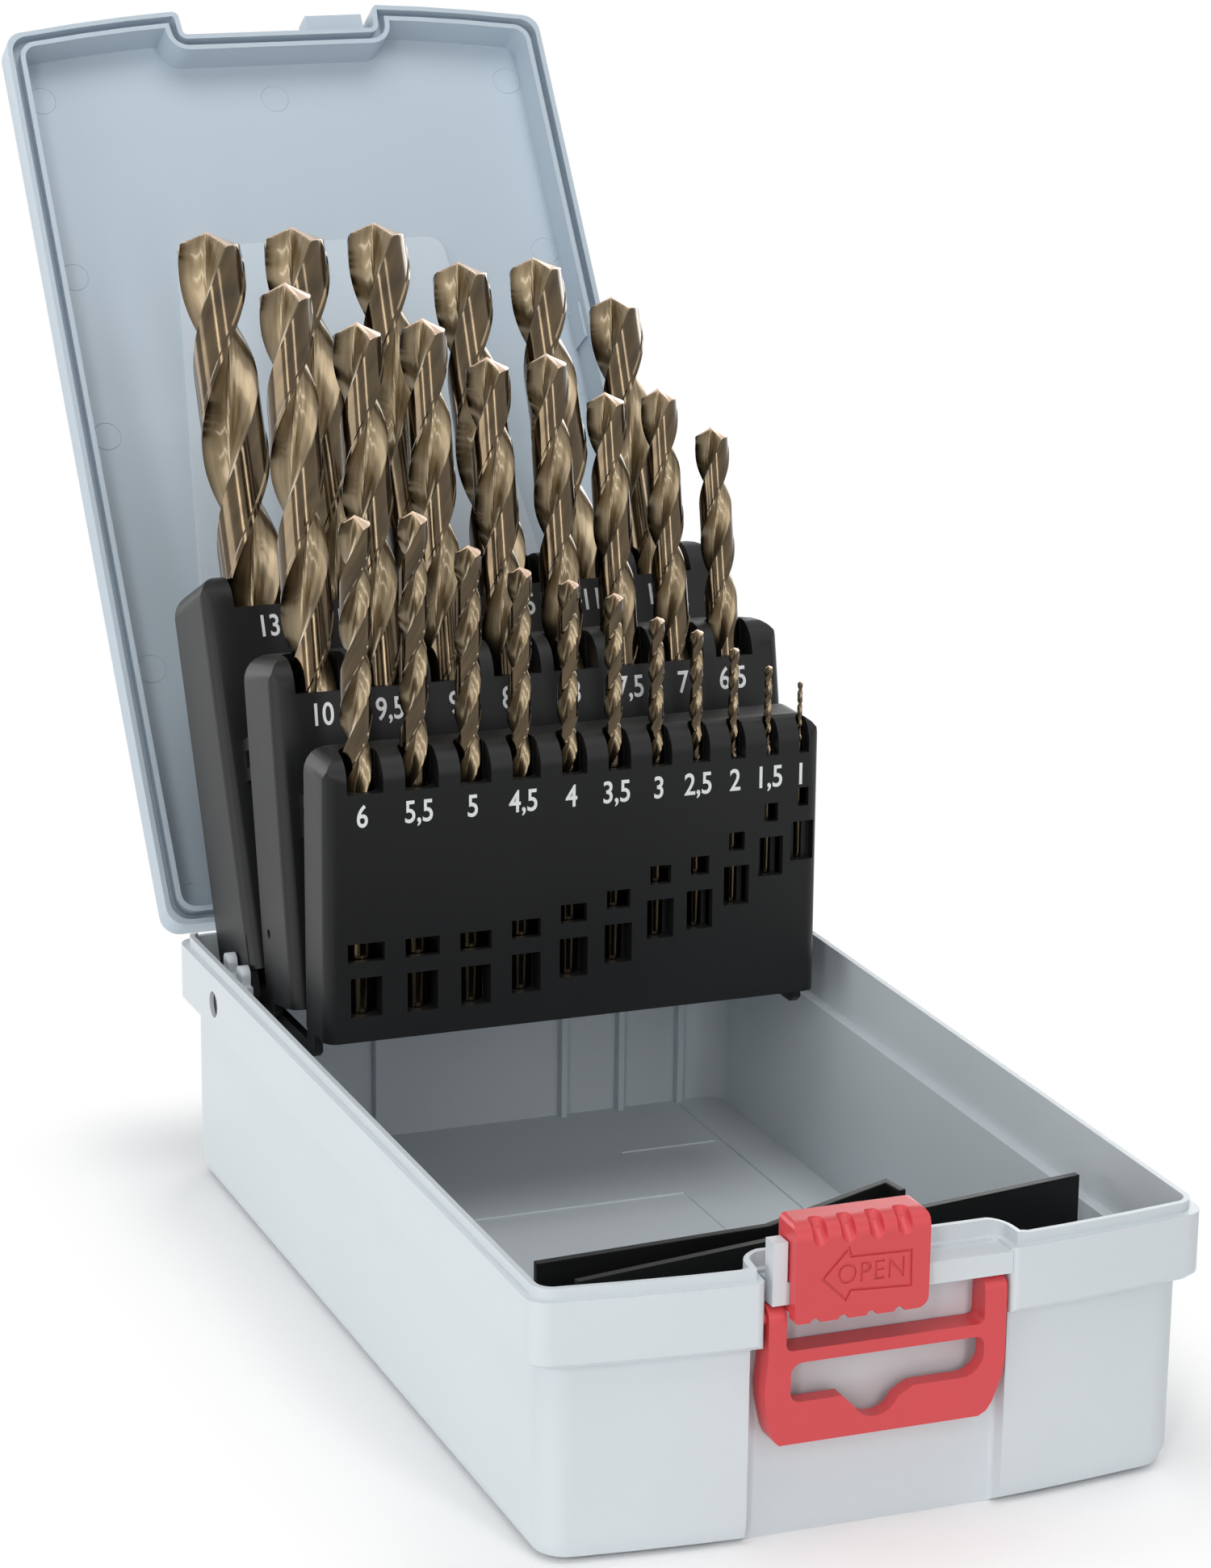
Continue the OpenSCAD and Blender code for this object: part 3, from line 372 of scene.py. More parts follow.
# %% [markdown]
# ## Edges that catch the light
#
# Every moulded edge has a small radius, because plastic doesn't fill a perfectly sharp corner, and
# that radius is what draws the bright line round each piece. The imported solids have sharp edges. A
# copy of each is welded, its flat faces are joined up again, and a bevel of real size goes round it.

# %% Copy a solid and round its edges
BODY_OF = {n: b for b, ns in frame["record"]["behaviour"]["bodies"].items() for n in ns}
# vertices closer than this are one, in millimetres, and faces flatter than this are joined, in degrees
WELD_MM, FLAT_DEGREES = 0.002, 0.6
# the bevel goes over edges that turn more than this, in so many steps
EDGE_DEGREES, EDGE_STEPS = 32, 2


def link(obj):
    """Puts an object in the scene."""
    bpy.context.scene.collection.objects.link(obj)
    return obj


def as_object(shape, name):
    """A bmesh turned into an object of the scene."""
    mesh = bpy.data.meshes.new(name)
    shape.to_mesh(mesh)
    shape.free()
    return link(bpy.data.objects.new(name, mesh))


def baked(obj, name):
    """The object as its modifiers leave it, as a plain mesh object."""
    bpy.context.view_layer.update()
    seen_by = bpy.context.evaluated_depsgraph_get()
    mesh = bpy.data.meshes.new_from_object(obj.evaluated_get(seen_by), depsgraph=seen_by)
    mesh.name = name
    bpy.data.objects.remove(obj)
    return link(bpy.data.objects.new(name, mesh))


def boolean(piece, operation, others):
    """Adds other solids to a piece, or takes them away, with one modifier each."""
    for other in others:
        step = piece.modifiers.new(other.name, "BOOLEAN")
        step.operation = operation
        step.solver = "EXACT"
        step.object = other


def rounded(node, radius_mm, material, fillers=(), cutters=()):
    """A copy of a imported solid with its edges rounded, riding where the solid rides."""
    mesh = frame["nodes"][node].data.copy()
    shape = bmesh.new()
    shape.from_mesh(mesh)
    bmesh.ops.remove_doubles(shape, verts=shape.verts, dist=WELD_MM * MM)
    bmesh.ops.dissolve_limit(shape, angle_limit=math.radians(FLAT_DEGREES), verts=shape.verts,
                             edges=shape.edges)
    shape.to_mesh(mesh)
    shape.free()
    for polygon in mesh.polygons:
        polygon.use_smooth = True
    piece = link(bpy.data.objects.new(node + "_blank", mesh))
    boolean(piece, "UNION", fillers)
    bevel = piece.modifiers.new("edge radius", "BEVEL")
    bevel.width = radius_mm * MM
    bevel.segments = EDGE_STEPS
    bevel.limit_method = "ANGLE"
    bevel.angle_limit = math.radians(EDGE_DEGREES)
    boolean(piece, "DIFFERENCE", cutters)
    weigh = piece.modifiers.new("flat faces stay flat", "WEIGHTED_NORMAL")
    weigh.mode = "FACE_AREA"
    weigh.keep_sharp = True
    piece = baked(piece, node + "_moulded")
    for helper in (*fillers, *cutters):
        bpy.data.objects.remove(helper)
    piece.data.materials.clear()
    piece.data.materials.append(material)
    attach(piece, BODY_OF[node])
    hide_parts(node)
    print(piece.name, len(piece.data.polygons), "faces")


for node, radius, material in (
        ("base_shell", 0.3, light_grey), ("lid_shell", 0.3, blue_grey),
        ("rack_large", 0.3, black), ("rack_medium", 0.3, black), ("rack_small", 0.3, black),
        ("hang_bail", 0.3, red), ("tip_guard", 0.2, black), ("tip_flap", 0.2, black)):
    rounded(node, radius, material)

# %% [markdown]
# ## The engraved slider
#
# The slider's front shows which way it opens: the outline of an arrow with a word inside it, sunk a third
# of a millimetre. Engraving takes material away, so thin cutters are made first and a Boolean modifier
# takes them out of the rounded slider. The grip grooves run so close to the hollow behind the top edge that
# a thin bar along the hollow's corner keeps a floor under them.

# %% A cutter for the arrow
LEFT, FRONT, _ = (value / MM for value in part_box("latch_slider")[0])
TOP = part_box("latch_slider")[1][2] / MM
ENGRAVED = 0.3
# corners of the arrow's outline in the front plane, x and z in millimetres
ARROW = [(-12.5, 46.9), (-8.1, 51.6), (-7.7, 50.2), (2.8, 49.9), (2.9, 43.9), (-7.6, 44.5), (-8.4, 42.9)]
ARROW_LINE = 0.45


def line_cutter(name, corners, width_mm):
    """A square-cornered ribbon along a closed outline, standing through the front plane."""
    shape = bmesh.new()
    count = len(corners)
    rows = []
    for i in range(count):
        here = Vector(corners[i])
        before = (here - Vector(corners[i - 1])).normalized()
        after = (Vector(corners[(i + 1) % count]) - here).normalized()
        across = Vector((-before.y - after.y, before.x + after.x))
        across *= width_mm / across.length_squared
        rows.append([(here + across * s, y) for s, y in ((1, -1), (1, 1), (-1, 1), (-1, -1))])
    verts = [[shape.verts.new((p.x * MM, (FRONT + y * ENGRAVED) * MM, p.y * MM)) for p, y in row]
             for row in rows]
    for i in range(count):
        for k in range(4):
            a, b = verts[i], verts[(i + 1) % count]
            shape.faces.new((a[k], a[(k + 1) % 4], b[(k + 1) % 4], b[k]))
    bmesh.ops.recalc_face_normals(shape, faces=shape.faces)
    return as_object(shape, name)


arrow = line_cutter("arrow", ARROW, ARROW_LINE)
print(arrow.name, "cutter has", len(arrow.data.polygons), "faces")

# %% A cutter for the word
WORD_MIDDLE, WORD_SIZE = (-4.1, 47.3), (11.6, 3.4)
LETTER_SPACING = 1.08


def word_cutter(name, words):
    """Letters of a set width and height, standing through the front plane."""
    text = bpy.data.curves.new(name, "FONT")
    text.body = words
    text.extrude = 0.5
    text.space_character = LETTER_SPACING
    letters = baked(link(bpy.data.objects.new(name + "_blank", text)), name)
    spots = [v.co for v in letters.data.vertices]
    low = Vector(min(s[i] for s in spots) for i in range(3))
    high = Vector(max(s[i] for s in spots) for i in range(3))
    size = high - low
    stretch = Matrix.Diagonal((WORD_SIZE[0] / size.x, WORD_SIZE[1] / size.y, 2 * ENGRAVED, 1))
    upright = Matrix.Rotation(math.radians(90), 4, "X")
    where = Matrix.Translation((WORD_MIDDLE[0], FRONT, WORD_MIDDLE[1]))
    letters.data.transform(Matrix.Scale(MM, 4) @ where @ upright @ stretch
                           @ Matrix.Translation(-(low + high) / 2))
    return letters


word = word_cutter("word", "OPEN")
print(word.name, "cutter has", len(word.data.polygons), "faces")

# %% A bar for the hollow's corner, then the slider
FRONT_WALL, TOP_WALL = 2.2, 1.4
# the bar starts and ends so far from the slider's left side
BAR_ENDS = (0.6, 21)
# its outline, as distances behind the front wall's inner face and under the top wall's
BAR_OUTLINE = [(-0.3, 0.52), (0.52, -0.3), (0.9, -0.3), (-0.3, 0.9)]


def corner_bar(name, ends, corners):
    """A bar along x, with its outline given by y and z in millimetres."""
    shape = bmesh.new()
    rows = [[shape.verts.new((x * MM, y * MM, z * MM)) for y, z in corners] for x in ends]
    shape.faces.new(rows[0])
    shape.faces.new(rows[1])
    for i in range(len(corners)):
        shape.faces.new((rows[0][i - 1], rows[0][i], rows[1][i], rows[1][i - 1]))
    bmesh.ops.recalc_face_normals(shape, faces=shape.faces)
    return as_object(shape, name)


hollow_y, hollow_z = FRONT + FRONT_WALL, TOP - TOP_WALL
bar = corner_bar("hollow_corner", [LEFT + end for end in BAR_ENDS],
                 [(hollow_y + behind, hollow_z - under) for behind, under in BAR_OUTLINE])
rounded("latch_slider", 0.3, red, fillers=(bar,), cutters=(arrow, word))

# %% [markdown]
# ## Marks inside the lid
#
# Moulded lids carry small marks of the mould. Round ejector pins push the lid out and each leaves a thin
# ring, and a large smooth panel is a third of a millimetre proud. The marks are placed as on the closed
# lid, seen from above, and turned with the lid to where it stands open. The rings are all alike, so
# Geometry Nodes put one ring on each point.

# %% Where the open lid is
joint = next(j for j in frame["joints"] if j["name"] == "lid_hinge")
hinge = Vector(joint["pos_m"])
opened = (Matrix.Translation(hinge) @ Matrix.Rotation(math.radians(joint["range_deg"][0]), 4, "X")
          @ Matrix.Translation(-hinge))
closed = opened.inverted()
LID_WALL = 1.8
LID_INSIDE = max((closed @ v.co).z for v in frame["nodes"]["lid_shell"].data.vertices) / MM - LID_WALL
print("lid opens", joint["range_deg"], "inner face at", round(LID_INSIDE, 2), "mm when closed")

# %% Rings of the ejector pins
PINS = [(-51.7, -87.4), (-0.7, -85.7), (52.6, -87.7), (-51.8, -46.4), (53.0, -46.7), (-51.2, -10.2),
        (-51.0, 41.3), (52.8, -10.0), (52.6, 41.0), (-51.0, 90.3)]
RING_MM, RING_LINE_MM = 3.0, 0.11


def ring_tree():
    """One thin ring on each point of a mesh."""
    tree = bpy.data.node_groups.new("ejector rings", "GeometryNodeTree")
    sockets = tree.interface
    sockets.new_socket("Geometry", in_out="INPUT", socket_type="NodeSocketGeometry")
    for name, kind in (("Ring Radius", "NodeSocketFloat"), ("Line Radius", "NodeSocketFloat"),
                       ("Plastic", "NodeSocketMaterial")):
        sockets.new_socket(name, in_out="INPUT", socket_type=kind)
    sockets.new_socket("Geometry", in_out="OUTPUT", socket_type="NodeSocketGeometry")
    given = add(tree, "NodeGroupInput").outputs
    ring = add(tree, "GeometryNodeCurvePrimitiveCircle", Resolution=40, Radius=given["Ring Radius"])
    wire = add(tree, "GeometryNodeCurvePrimitiveCircle", Resolution=6, Radius=given["Line Radius"])
    tube = add(tree, "GeometryNodeCurveToMesh", Curve=ring.outputs["Curve"],
               Profile_Curve=wire.outputs["Curve"])
    spots = add(tree, "GeometryNodeMeshToPoints", Mesh=given["Geometry"])
    rings = add(tree, "GeometryNodeInstanceOnPoints", Points=spots.outputs[0], Instance=tube.outputs[0])
    rings = add(tree, "GeometryNodeRealizeInstances", Geometry=rings.outputs[0])
    rings = add(tree, "GeometryNodeSetMaterial", Geometry=rings.outputs[0], Material=given["Plastic"])
    add(tree, "NodeGroupOutput", Geometry=rings.outputs[0])
    return tree


def input_ids(tree):
    """The identifier of each input of a tree, by its name."""
    return {s.name: s.identifier for s in tree.interface.items_tree if s.in_out == "INPUT"}


spots = bpy.data.meshes.new("pins")
spots.from_pydata([(x * MM, y * MM, LID_INSIDE * MM) for x, y in PINS], [], [])
blank = link(bpy.data.objects.new("pins_blank", spots))
modifier = blank.modifiers.new("rings", "NODES")
modifier.node_group = ring_tree()
for name, value in (("Ring Radius", RING_MM * MM), ("Line Radius", RING_LINE_MM * MM),
                    ("Plastic", blue_grey)):
    modifier[input_ids(modifier.node_group)[name]] = value
rings = baked(blank, "lid_ejector_rings")
rings.data.transform(opened)
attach(rings, BODY_OF["lid_shell"])
print(len(PINS), "rings")

# %% Smooth panel
PANEL = [(-29.0, -52.2), (30.0, -51.4), (37.5, 28.0), (-38.0, 28.0)]
PANEL_CORNER, PANEL_HEIGHT, PANEL_ROOT, PANEL_EDGE = 3.6, 0.35, 0.3, 0.15
smooth_blue = moulded_polypropylene("polished blue-grey polypropylene", "#C4D0DA", 0.30, depth_mm=0.002)


def round_corners(corners, radius, steps=6):
    """The corners of a polygon replaced by arcs, as curves through each corner."""
    outline = []
    for i, corner in enumerate(corners):
        here = Vector(corner)
        start = here + (Vector(corners[i - 1]) - here).normalized() * radius
        end = here + (Vector(corners[(i + 1) % len(corners)]) - here).normalized() * radius
        for k in range(steps + 1):
            t = k / steps
            outline.append(start * (1 - t) ** 2 + here * 2 * t * (1 - t) + end * t ** 2)
    return outline


shape = bmesh.new()
edge = round_corners(PANEL, PANEL_CORNER)
rim = [shape.verts.new((p.x * MM, p.y * MM, (LID_INSIDE + PANEL_ROOT) * MM)) for p in edge]
face = shape.faces.new(rim)
raised = bmesh.ops.extrude_face_region(shape, geom=[face])
moved = [v for v in raised["geom"] if isinstance(v, bmesh.types.BMVert)]
bmesh.ops.translate(shape, verts=moved, vec=(0, 0, -(PANEL_ROOT + PANEL_HEIGHT) * MM))
bmesh.ops.recalc_face_normals(shape, faces=shape.faces)
panel = as_object(shape, "lid_smooth_panel_blank")
panel.data.transform(opened)
panel.data.materials.append(smooth_blue)
soften = panel.modifiers.new("edge radius", "BEVEL")
soften.width = PANEL_EDGE * MM
soften.segments = EDGE_STEPS
panel = baked(panel, "lid_smooth_panel")
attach(panel, BODY_OF["lid_shell"])
print(panel.name, len(panel.data.polygons), "faces")

# %% Pins keep their solids
for node in ("hinge_pin_left", "hinge_pin_right", "rack_pin_left", "rack_pin_right"):
    solid = frame["nodes"][node]
    solid.data.materials.clear()
    solid.data.materials.append(wire if node.startswith("hinge") else black)
    print(node, "in", solid.data.materials[0].name)

# %% [markdown]
# ## Twist drills
#
# A twist drill is one cross-section carried along a line while it turns. Going round it the way the drill
# is ground: a heel, a land a little below full size, a narrow margin at full size, the steep cutting
# face, the thin web, and a hollow that climbs back to the next heel. That is a rule, so Geometry Nodes
# make it. The tree reads the section from a curve, winds it up a right-hand helix, fills the flutes out
# into the round shank over a short run-out, and cuts the end to the 135 degree point.

# %% Sizes of the drills, in millimetres
DIAMETERS = {
    "large": [13, 12.5, 12, 11.5, 11, 10.5],
    "medium": [10, 9.5, 9, 8.5, 8, 7.5, 7, 6.5],
    "small": [6, 5.5, 5, 4.5, 4, 3.5, 3, 2.5, 2, 1.5, 1],
}
LENGTHS = {
    "large": [151, 151, 151, 142, 142, 133],
    "medium": [133, 125, 125, 117, 117, 109, 109, 101],
    "small": [93, 93, 86, 80, 75, 70, 61, 57, 49, 40, 34],
}
FLUTES = {
    "large": [101, 101, 101, 94, 94, 87],
    "medium": [87, 81, 81, 75, 75, 69, 69, 63],
    "small": [57, 57, 52, 47, 43, 39, 33, 30, 24, 18, 12],
}
# lean in degrees, distance of the front face before the pivot, height of the top, and how far left and
# right of the middle the row ends
RACKS = {
    "large": {"lean": 24.0, "front": 8.0, "top": 82.0, "first": 40.1, "last": 42.1},
    "medium": {"lean": 11.5, "front": 26.0, "top": 66.5, "first": 41.1, "last": 41.7},
    "small": {"lean": 0.5, "front": 38.6, "top": 57.0, "first": 41.3, "last": 45.7},
}
# height above the pivot at which each drill's lower end sits
SEATS = {"large": [0] * 6, "medium": [2.1] * 8,
         "small": [7.5, 7.5, 7.5, 8.8, 10.8, 12.6, 16.5, 17.5, 21.5, 26.5, 29]}
# y and z of the racks' pivot line
PIVOT = (74.0, 41.0)


def row_places(rack):
    """Middles of the bits of a rack: the free gap between neighbours is the same all along."""
    sizes = DIAMETERS[rack]
    ends = RACKS[rack]
    gaps = len(sizes) - 1
    gap = (ends["first"] + ends["last"] - sum(sizes) + sizes[0] / 2 + sizes[-1] / 2) / gaps
    x = -ends["first"]
    places = [x]
    for left, nearer in zip(sizes, sizes[1:]):
        x += left / 2 + gap + nearer / 2
        places.append(x)
    return places


print({rack: [round(x, 1) for x in row_places(rack)] for rack in RACKS})


# %% The cross-section and the point
# share of a half turn, share of the full radius
SECTION = [(0.0, 0.955), (0.375, 0.955), (0.396, 1.0), (0.4375, 1.0), (0.458, 0.74), (0.48, 0.57),
           (0.52, 0.38), (0.58, 0.28), (0.67, 0.25), (0.76, 0.30), (0.84, 0.43), (0.92, 0.66),
           (0.98, 0.90), (1.0, 0.955)]
# shares of a half turn at which the polished land ends and the cutting lip lies
LAND_END, LIP = 0.448, 0.4375
POINT_ANGLE = 135
POINT_SLOPE = math.tan(math.radians(POINT_ANGLE / 2))
# tangent of the angle at which the ground point falls away behind each cutting lip
RELIEF = math.tan(math.radians(14))
# the run-out and the chamfer of the shank's end as shares of the diameter, the tip's flat of the radius
RUN_OUT, BUTT_CHAMFER, TIP_FLAT = 1.1, 0.06, 0.02
SHANK_RINGS = 4
CM_PER_M = 100.0
print(len(SECTION), "corners in half a section, a point of", POINT_ANGLE, "degrees")


# %% Geometry Nodes: one twist drill
def drill_tree():
    """A tree that turns an empty mesh into a twist drill."""
    tree = bpy.data.node_groups.new("twist drill", "GeometryNodeTree")
    sockets = tree.interface
    for name, kind, value in (("Diameter", "NodeSocketFloat", 0.01), ("Length", "NodeSocketFloat", 0.13),
                              ("Flute Length", "NodeSocketFloat", 0.08),
                              ("Helix Angle", "NodeSocketFloat", math.radians(30)),
                              ("Phase", "NodeSocketFloat", math.radians(312)),
                              ("Flute Rings", "NodeSocketInt", 90), ("Point Rings", "NodeSocketInt", 14),
                              ("Around", "NodeSocketInt", 96), ("Lean", "NodeSocketFloat", 0.0),
                              ("Seat", "NodeSocketVector", (0, 0, 0)),
                              ("Steel", "NodeSocketMaterial", None)):
        socket = sockets.new_socket(name, in_out="INPUT", socket_type=kind)
        if value is not None:
            socket.default_value = value
    sockets.new_socket("Geometry", in_out="OUTPUT", socket_type="NodeSocketGeometry")
    given = add(tree, "NodeGroupInput").outputs

    def maths(operation, *values, clamp=False):
        return add(tree, "ShaderNodeMath", {"operation": operation, "use_clamp": clamp},
                   **{f"_{i}": v for i, v in enumerate(values)}).outputs[0]

    def ramp(value, low, high, to_low, to_high):
        return add(tree, "ShaderNodeMapRange", Value=value, From_Min=low, From_Max=high,
                   To_Min=to_low, To_Max=to_high).outputs[0]

    def remember(geometry, name, value):
        return add(tree, "GeometryNodeStoreNamedAttribute", {"data_type": "FLOAT", "domain": "POINT"},
                   Geometry=geometry, Name=name, Value=value).outputs[0]

    def recall(name):
        return add(tree, "GeometryNodeInputNamedAttribute", {"data_type": "FLOAT"}, Name=name).outputs[0]

    radius = maths("MULTIPLY", given["Diameter"], 0.5)

    # the section's points remember how far round they are, the line's points how far up they are
    circle = add(tree, "GeometryNodeCurvePrimitiveCircle", Resolution=given["Around"], Radius=1.0)
    turn = add(tree, "GeometryNodeSplineParameter").outputs["Factor"]
    circle = remember(circle.outputs["Curve"], "round", turn)
    rings = maths("ADD", maths("ADD", given["Flute Rings"], given["Point Rings"]), SHANK_RINGS + 1)
    top = add(tree, "ShaderNodeCombineXYZ", Z=given["Length"])
    line = add(tree, "GeometryNodeCurvePrimitiveLine", End=top.outputs[0])
    line = add(tree, "GeometryNodeResampleCurve", Curve=line.outputs[0], Count=rings)
    station = add(tree, "GeometryNodeInputIndex").outputs[0]
    line = remember(line.outputs[0], "station", station)
    body = add(tree, "GeometryNodeCurveToMesh", Curve=line, Profile_Curve=circle, Fill_Caps=True)

    # height: a few rings on the shank, many along the flutes and close ones on the point
    start = maths("SUBTRACT", given["Length"], given["Flute Length"])
    point_height = maths("MULTIPLY", radius, 1 / POINT_SLOPE + RELIEF * LIP * math.pi)
    flutes_from = float(SHANK_RINGS)
    point_from = maths("ADD", given["Flute Rings"], flutes_from)
    end = maths("ADD", point_from, given["Point Rings"])
    ring = recall("station")
    z = maths("ADD", ramp(ring, 0.0, flutes_from, 0.0, start),
              ramp(ring, flutes_from, point_from, 0.0,
                   maths("SUBTRACT", given["Flute Length"], point_height)))
    z = maths("ADD", z, ramp(ring, point_from, end, 0.0, point_height))

    # radius: the section, filled out to the round shank below the run-out, then the point
    half = maths("FRACT", maths("MULTIPLY", recall("round"), 2.0))
    shape = add(tree, "ShaderNodeFloatCurve", Value=half)
    points = shape.mapping.curves[0].points
    points[0].location, points[1].location = SECTION[0], SECTION[-1]
    for spot in SECTION[1:-1]:
        points.new(*spot)
    for spot in points:
        spot.handle_type = "VECTOR"
    shape.mapping.update()
    run_out = maths("ADD", start, maths("MULTIPLY", given["Diameter"], RUN_OUT))
    ease = add(tree, "ShaderNodeMapRange", {"interpolation_type": "SMOOTHSTEP"}, Value=z,
               From_Min=start, From_Max=run_out).outputs[0]
    fluted = maths("ADD", 1.0, maths("MULTIPLY", maths("SUBTRACT", shape.outputs[0], 1.0), ease))
    side = maths("MULTIPLY", fluted, radius)
    behind = maths("MAXIMUM", ramp(half, 0.0, LIP, LIP * math.pi, 0.0),
                   ramp(half, LIP, 1.0, 0.0, LIP * math.pi))
    fall = maths("ADD", 1.0, maths("MULTIPLY", behind, RELIEF * POINT_SLOPE))
    cone = maths("DIVIDE", maths("MULTIPLY", maths("SUBTRACT", given["Length"], z), POINT_SLOPE), fall)
    cone = maths("MAXIMUM", cone, maths("MULTIPLY", radius, TIP_FLAT))
    chamfer = maths("MULTIPLY", given["Diameter"], BUTT_CHAMFER)
    butt = maths("ADD", maths("SUBTRACT", radius, chamfer), z)
    wanted = maths("MINIMUM", maths("MINIMUM", side, cone), butt)

    # angle: a right-hand helix that starts at the run-out and reaches the phase at the tip
    lead = maths("DIVIDE", maths("MULTIPLY", given["Diameter"], math.pi),
                 maths("TANGENT", given["Helix Angle"]))
    climb = maths("DIVIDE", maths("SUBTRACT", maths("MAXIMUM", z, start), given["Length"]), lead)
    angle = maths("ADD", maths("MULTIPLY", maths("ADD", climb, recall("round")), math.tau),
                  given["Phase"])
    spot = add(tree, "ShaderNodeCombineXYZ", X=maths("MULTIPLY", wanted, maths("COSINE", angle)),
               Y=maths("MULTIPLY", wanted, maths("SINE", angle)), Z=z)
    flat_map = add(tree, "ShaderNodeCombineXYZ", X=recall("round"), Y=maths("MULTIPLY", z, CM_PER_M))

    # what the steel needs to know, then the place
    on_land = maths("LESS_THAN", half, LAND_END)
    polished = maths("MAXIMUM", on_land, maths("SUBTRACT", 1.0, ease))
    body = remember(body.outputs[0], "land", polished)
    body = remember(body, "point", maths("LESS_THAN", cone, maths("MULTIPLY", side, 0.999)))
    body = add(tree, "GeometryNodeStoreNamedAttribute", {"data_type": "FLOAT2", "domain": "CORNER"},
               Geometry=body, Name="UVMap", Value=flat_map.outputs[0])
    body = add(tree, "GeometryNodeSetPosition", Geometry=body.outputs[0], Position=spot.outputs[0])
    bend = add(tree, "ShaderNodeCombineXYZ", X=maths("MULTIPLY", given["Lean"], -1.0))
    body = add(tree, "GeometryNodeTransform", Geometry=body.outputs[0], Translation=given["Seat"],
               Rotation=bend.outputs[0])
    body = add(tree, "GeometryNodeRealizeInstances", Geometry=body.outputs[0])
    body = add(tree, "GeometryNodeSetMaterial", Geometry=body.outputs[0], Material=given["Steel"])
    add(tree, "NodeGroupOutput", Geometry=body.outputs[0])
    return tree


twist_drill = drill_tree()
print(len(twist_drill.nodes), "nodes in the drill's tree")

# %% Make the twenty-five drills
# the rack's wall in front of a hole, and the play round and under a drill
SHELL, HOLE_GAP, SEAT_GAP = 1.6, 0.3, 0.2
# rings along the flutes are this share of the diameter apart, and this much more
RING_SHARE, RING_MORE = 0.09, 0.1
# drills over this diameter have twice as many rings at the point and points around
FINE_OVER = 4
SHARP_DEGREES = 30


def make_drill(rack, number):
    """One drill, standing in its hole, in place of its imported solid."""
    size = DIAMETERS[rack][number]
    node = "bit_" + f"{size:.1f}".replace(".", "_")
    lean = math.radians(RACKS[rack]["lean"])
    depth = RACKS[rack]["front"] - (SHELL + size / 2 + HOLE_GAP)
    rise = SEATS[rack][number] + SEAT_GAP
    y = PIVOT[0] - depth * math.cos(lean) + rise * math.sin(lean)
    z = PIVOT[1] + depth * math.sin(lean) + rise * math.cos(lean)
    blank = link(bpy.data.objects.new(node + "_blank", bpy.data.meshes.new(node)))
    modifier = blank.modifiers.new("drill", "NODES")
    modifier.node_group = twist_drill
    length = LENGTHS[rack][number]
    flute = FLUTES[rack][number]
    fine = 2 if size > FINE_OVER else 1
    values = {"Diameter": size * MM, "Length": length * MM, "Flute Length": flute * MM,
              "Flute Rings": int(flute / (RING_SHARE * size + RING_MORE)), "Point Rings": 10 * fine,
              "Around": 48 * fine, "Lean": lean,
              "Seat": (row_places(rack)[number] * MM, y * MM, z * MM), "Steel": amber_steel}
    for name, identifier in input_ids(twist_drill).items():
        if name in values:
            modifier[identifier] = values[name]
    drill = baked(blank, node + "_drill")
    shape = bmesh.new()
    shape.from_mesh(drill.data)
    bmesh.ops.recalc_face_normals(shape, faces=shape.faces)
    shape.to_mesh(drill.data)
    shape.free()
    for polygon in drill.data.polygons:
        polygon.use_smooth = True
    drill.data.set_sharp_from_angle(angle=math.radians(SHARP_DEGREES))
    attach(drill, BODY_OF[node])
    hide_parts(node)
    return drill


drills = [make_drill(rack, i) for rack in RACKS for i in range(len(DIAMETERS[rack]))]
print(len(drills), "drills,", sum(len(d.data.polygons) for d in drills), "faces")

# %% [markdown]
# ## Printed sizes
#
# Each hole's size is pad-printed in white on the front of its rack, with a decimal comma. Pad printing
# leaves a film a few hundredths of a millimetre thick. Here each number is a text object, turned into
# a thin mesh, narrowed to the printed letter's proportions and laid on the face.

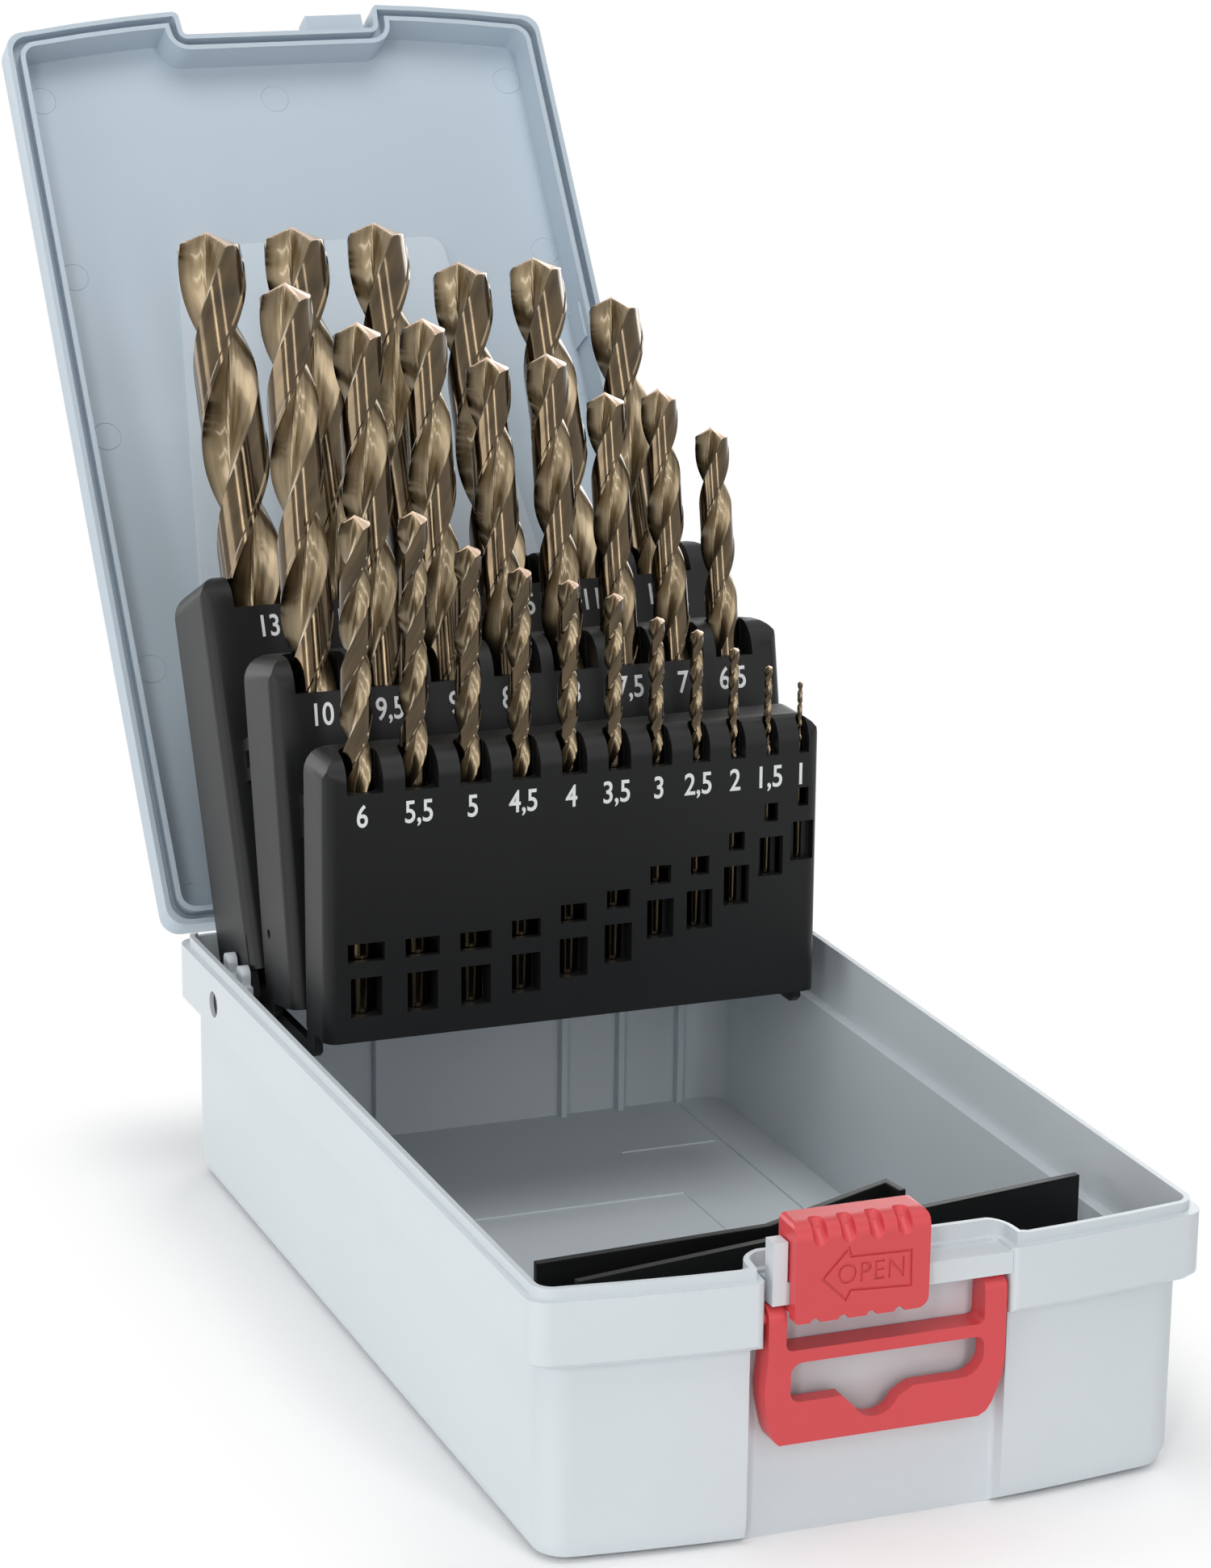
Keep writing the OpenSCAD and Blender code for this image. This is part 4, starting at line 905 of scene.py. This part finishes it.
# %% White ink
print_ink, tree = blank_material("white pad-print ink")
place = add(tree, "ShaderNodeTexCoord").outputs["Object"]
speckle = add(tree, "ShaderNodeTexNoise", Vector=place, Scale=2500.0, Detail=2.0)
tint = add(tree, "ShaderNodeMix", {"data_type": "RGBA"}, _0=speckle.outputs["Fac"],
           _6=hex_colour("#D9DBDC"), _7=hex_colour("#F4F5F5"))
shader = add(tree, "ShaderNodeBsdfPrincipled", Base_Color=tint.outputs[2], Roughness=0.5)
add(tree, "ShaderNodeOutputMaterial", Surface=shader.outputs[0])
print(print_ink.name, "with", len(tree.nodes), "nodes")

# %% Print the numbers, sizes in millimetres
NUMBER_HEIGHT, NARROW = 4.2, 0.80
# a figure's height as a share of the font's size, and how much the ink spreads past its outline
FIGURE_SHARE, INK_SPREAD = 0.71, 0.07
PRINT_FILM, FILM_STARTS = 0.03, 0.01
# the middle of a number is so far under the rack's top, and so far left of its drill's middle
NUMBER_DROP, NUMBER_LEFT = 11.3, 0.6


def print_number(rack, number):
    """One drill's size, printed on the front of its rack."""
    size = DIAMETERS[rack][number]
    words = f"{size:g}".replace(".", ",")
    text = bpy.data.curves.new("number", "FONT")
    text.body = words
    text.align_x = "CENTER"
    text.align_y = "CENTER"
    text.size = NUMBER_HEIGHT * MM / FIGURE_SHARE
    text.extrude = PRINT_FILM * MM
    text.offset = INK_SPREAD * MM
    blank = link(bpy.data.objects.new("number_blank", text))
    name = "print_" + f"{size:.1f}".replace(".", "_")
    mark = baked(blank, name)
    lean = math.radians(RACKS[rack]["lean"])
    stand = Matrix.Rotation(-lean, 4, "X")
    x = row_places(rack)[number] - NUMBER_LEFT
    front = RACKS[rack]["front"]
    height = RACKS[rack]["top"] - NUMBER_DROP
    local = Matrix.Translation((x * MM, -(front + FILM_STARTS) * MM, height * MM))
    pivot = Matrix.Translation((0, PIVOT[0] * MM, PIVOT[1] * MM))
    upright = Matrix.Rotation(math.radians(90), 4, "X") @ Matrix.Diagonal((NARROW, 1, 1, 1))
    mark.data.transform(pivot @ stand @ local @ upright)
    mark.data.materials.clear()
    mark.data.materials.append(print_ink)
    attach(mark, rack + "_rack")
    return mark


marks = [print_number(rack, i) for rack in RACKS for i in range(len(DIAMETERS[rack]))]
print(len(marks), "numbers")

# %% [markdown]
# ## Last look
#
# The colours are meant to be read as written, so the view transform is the plain one.

# %% Finish
bpy.context.scene.view_settings.view_transform = "Standard"
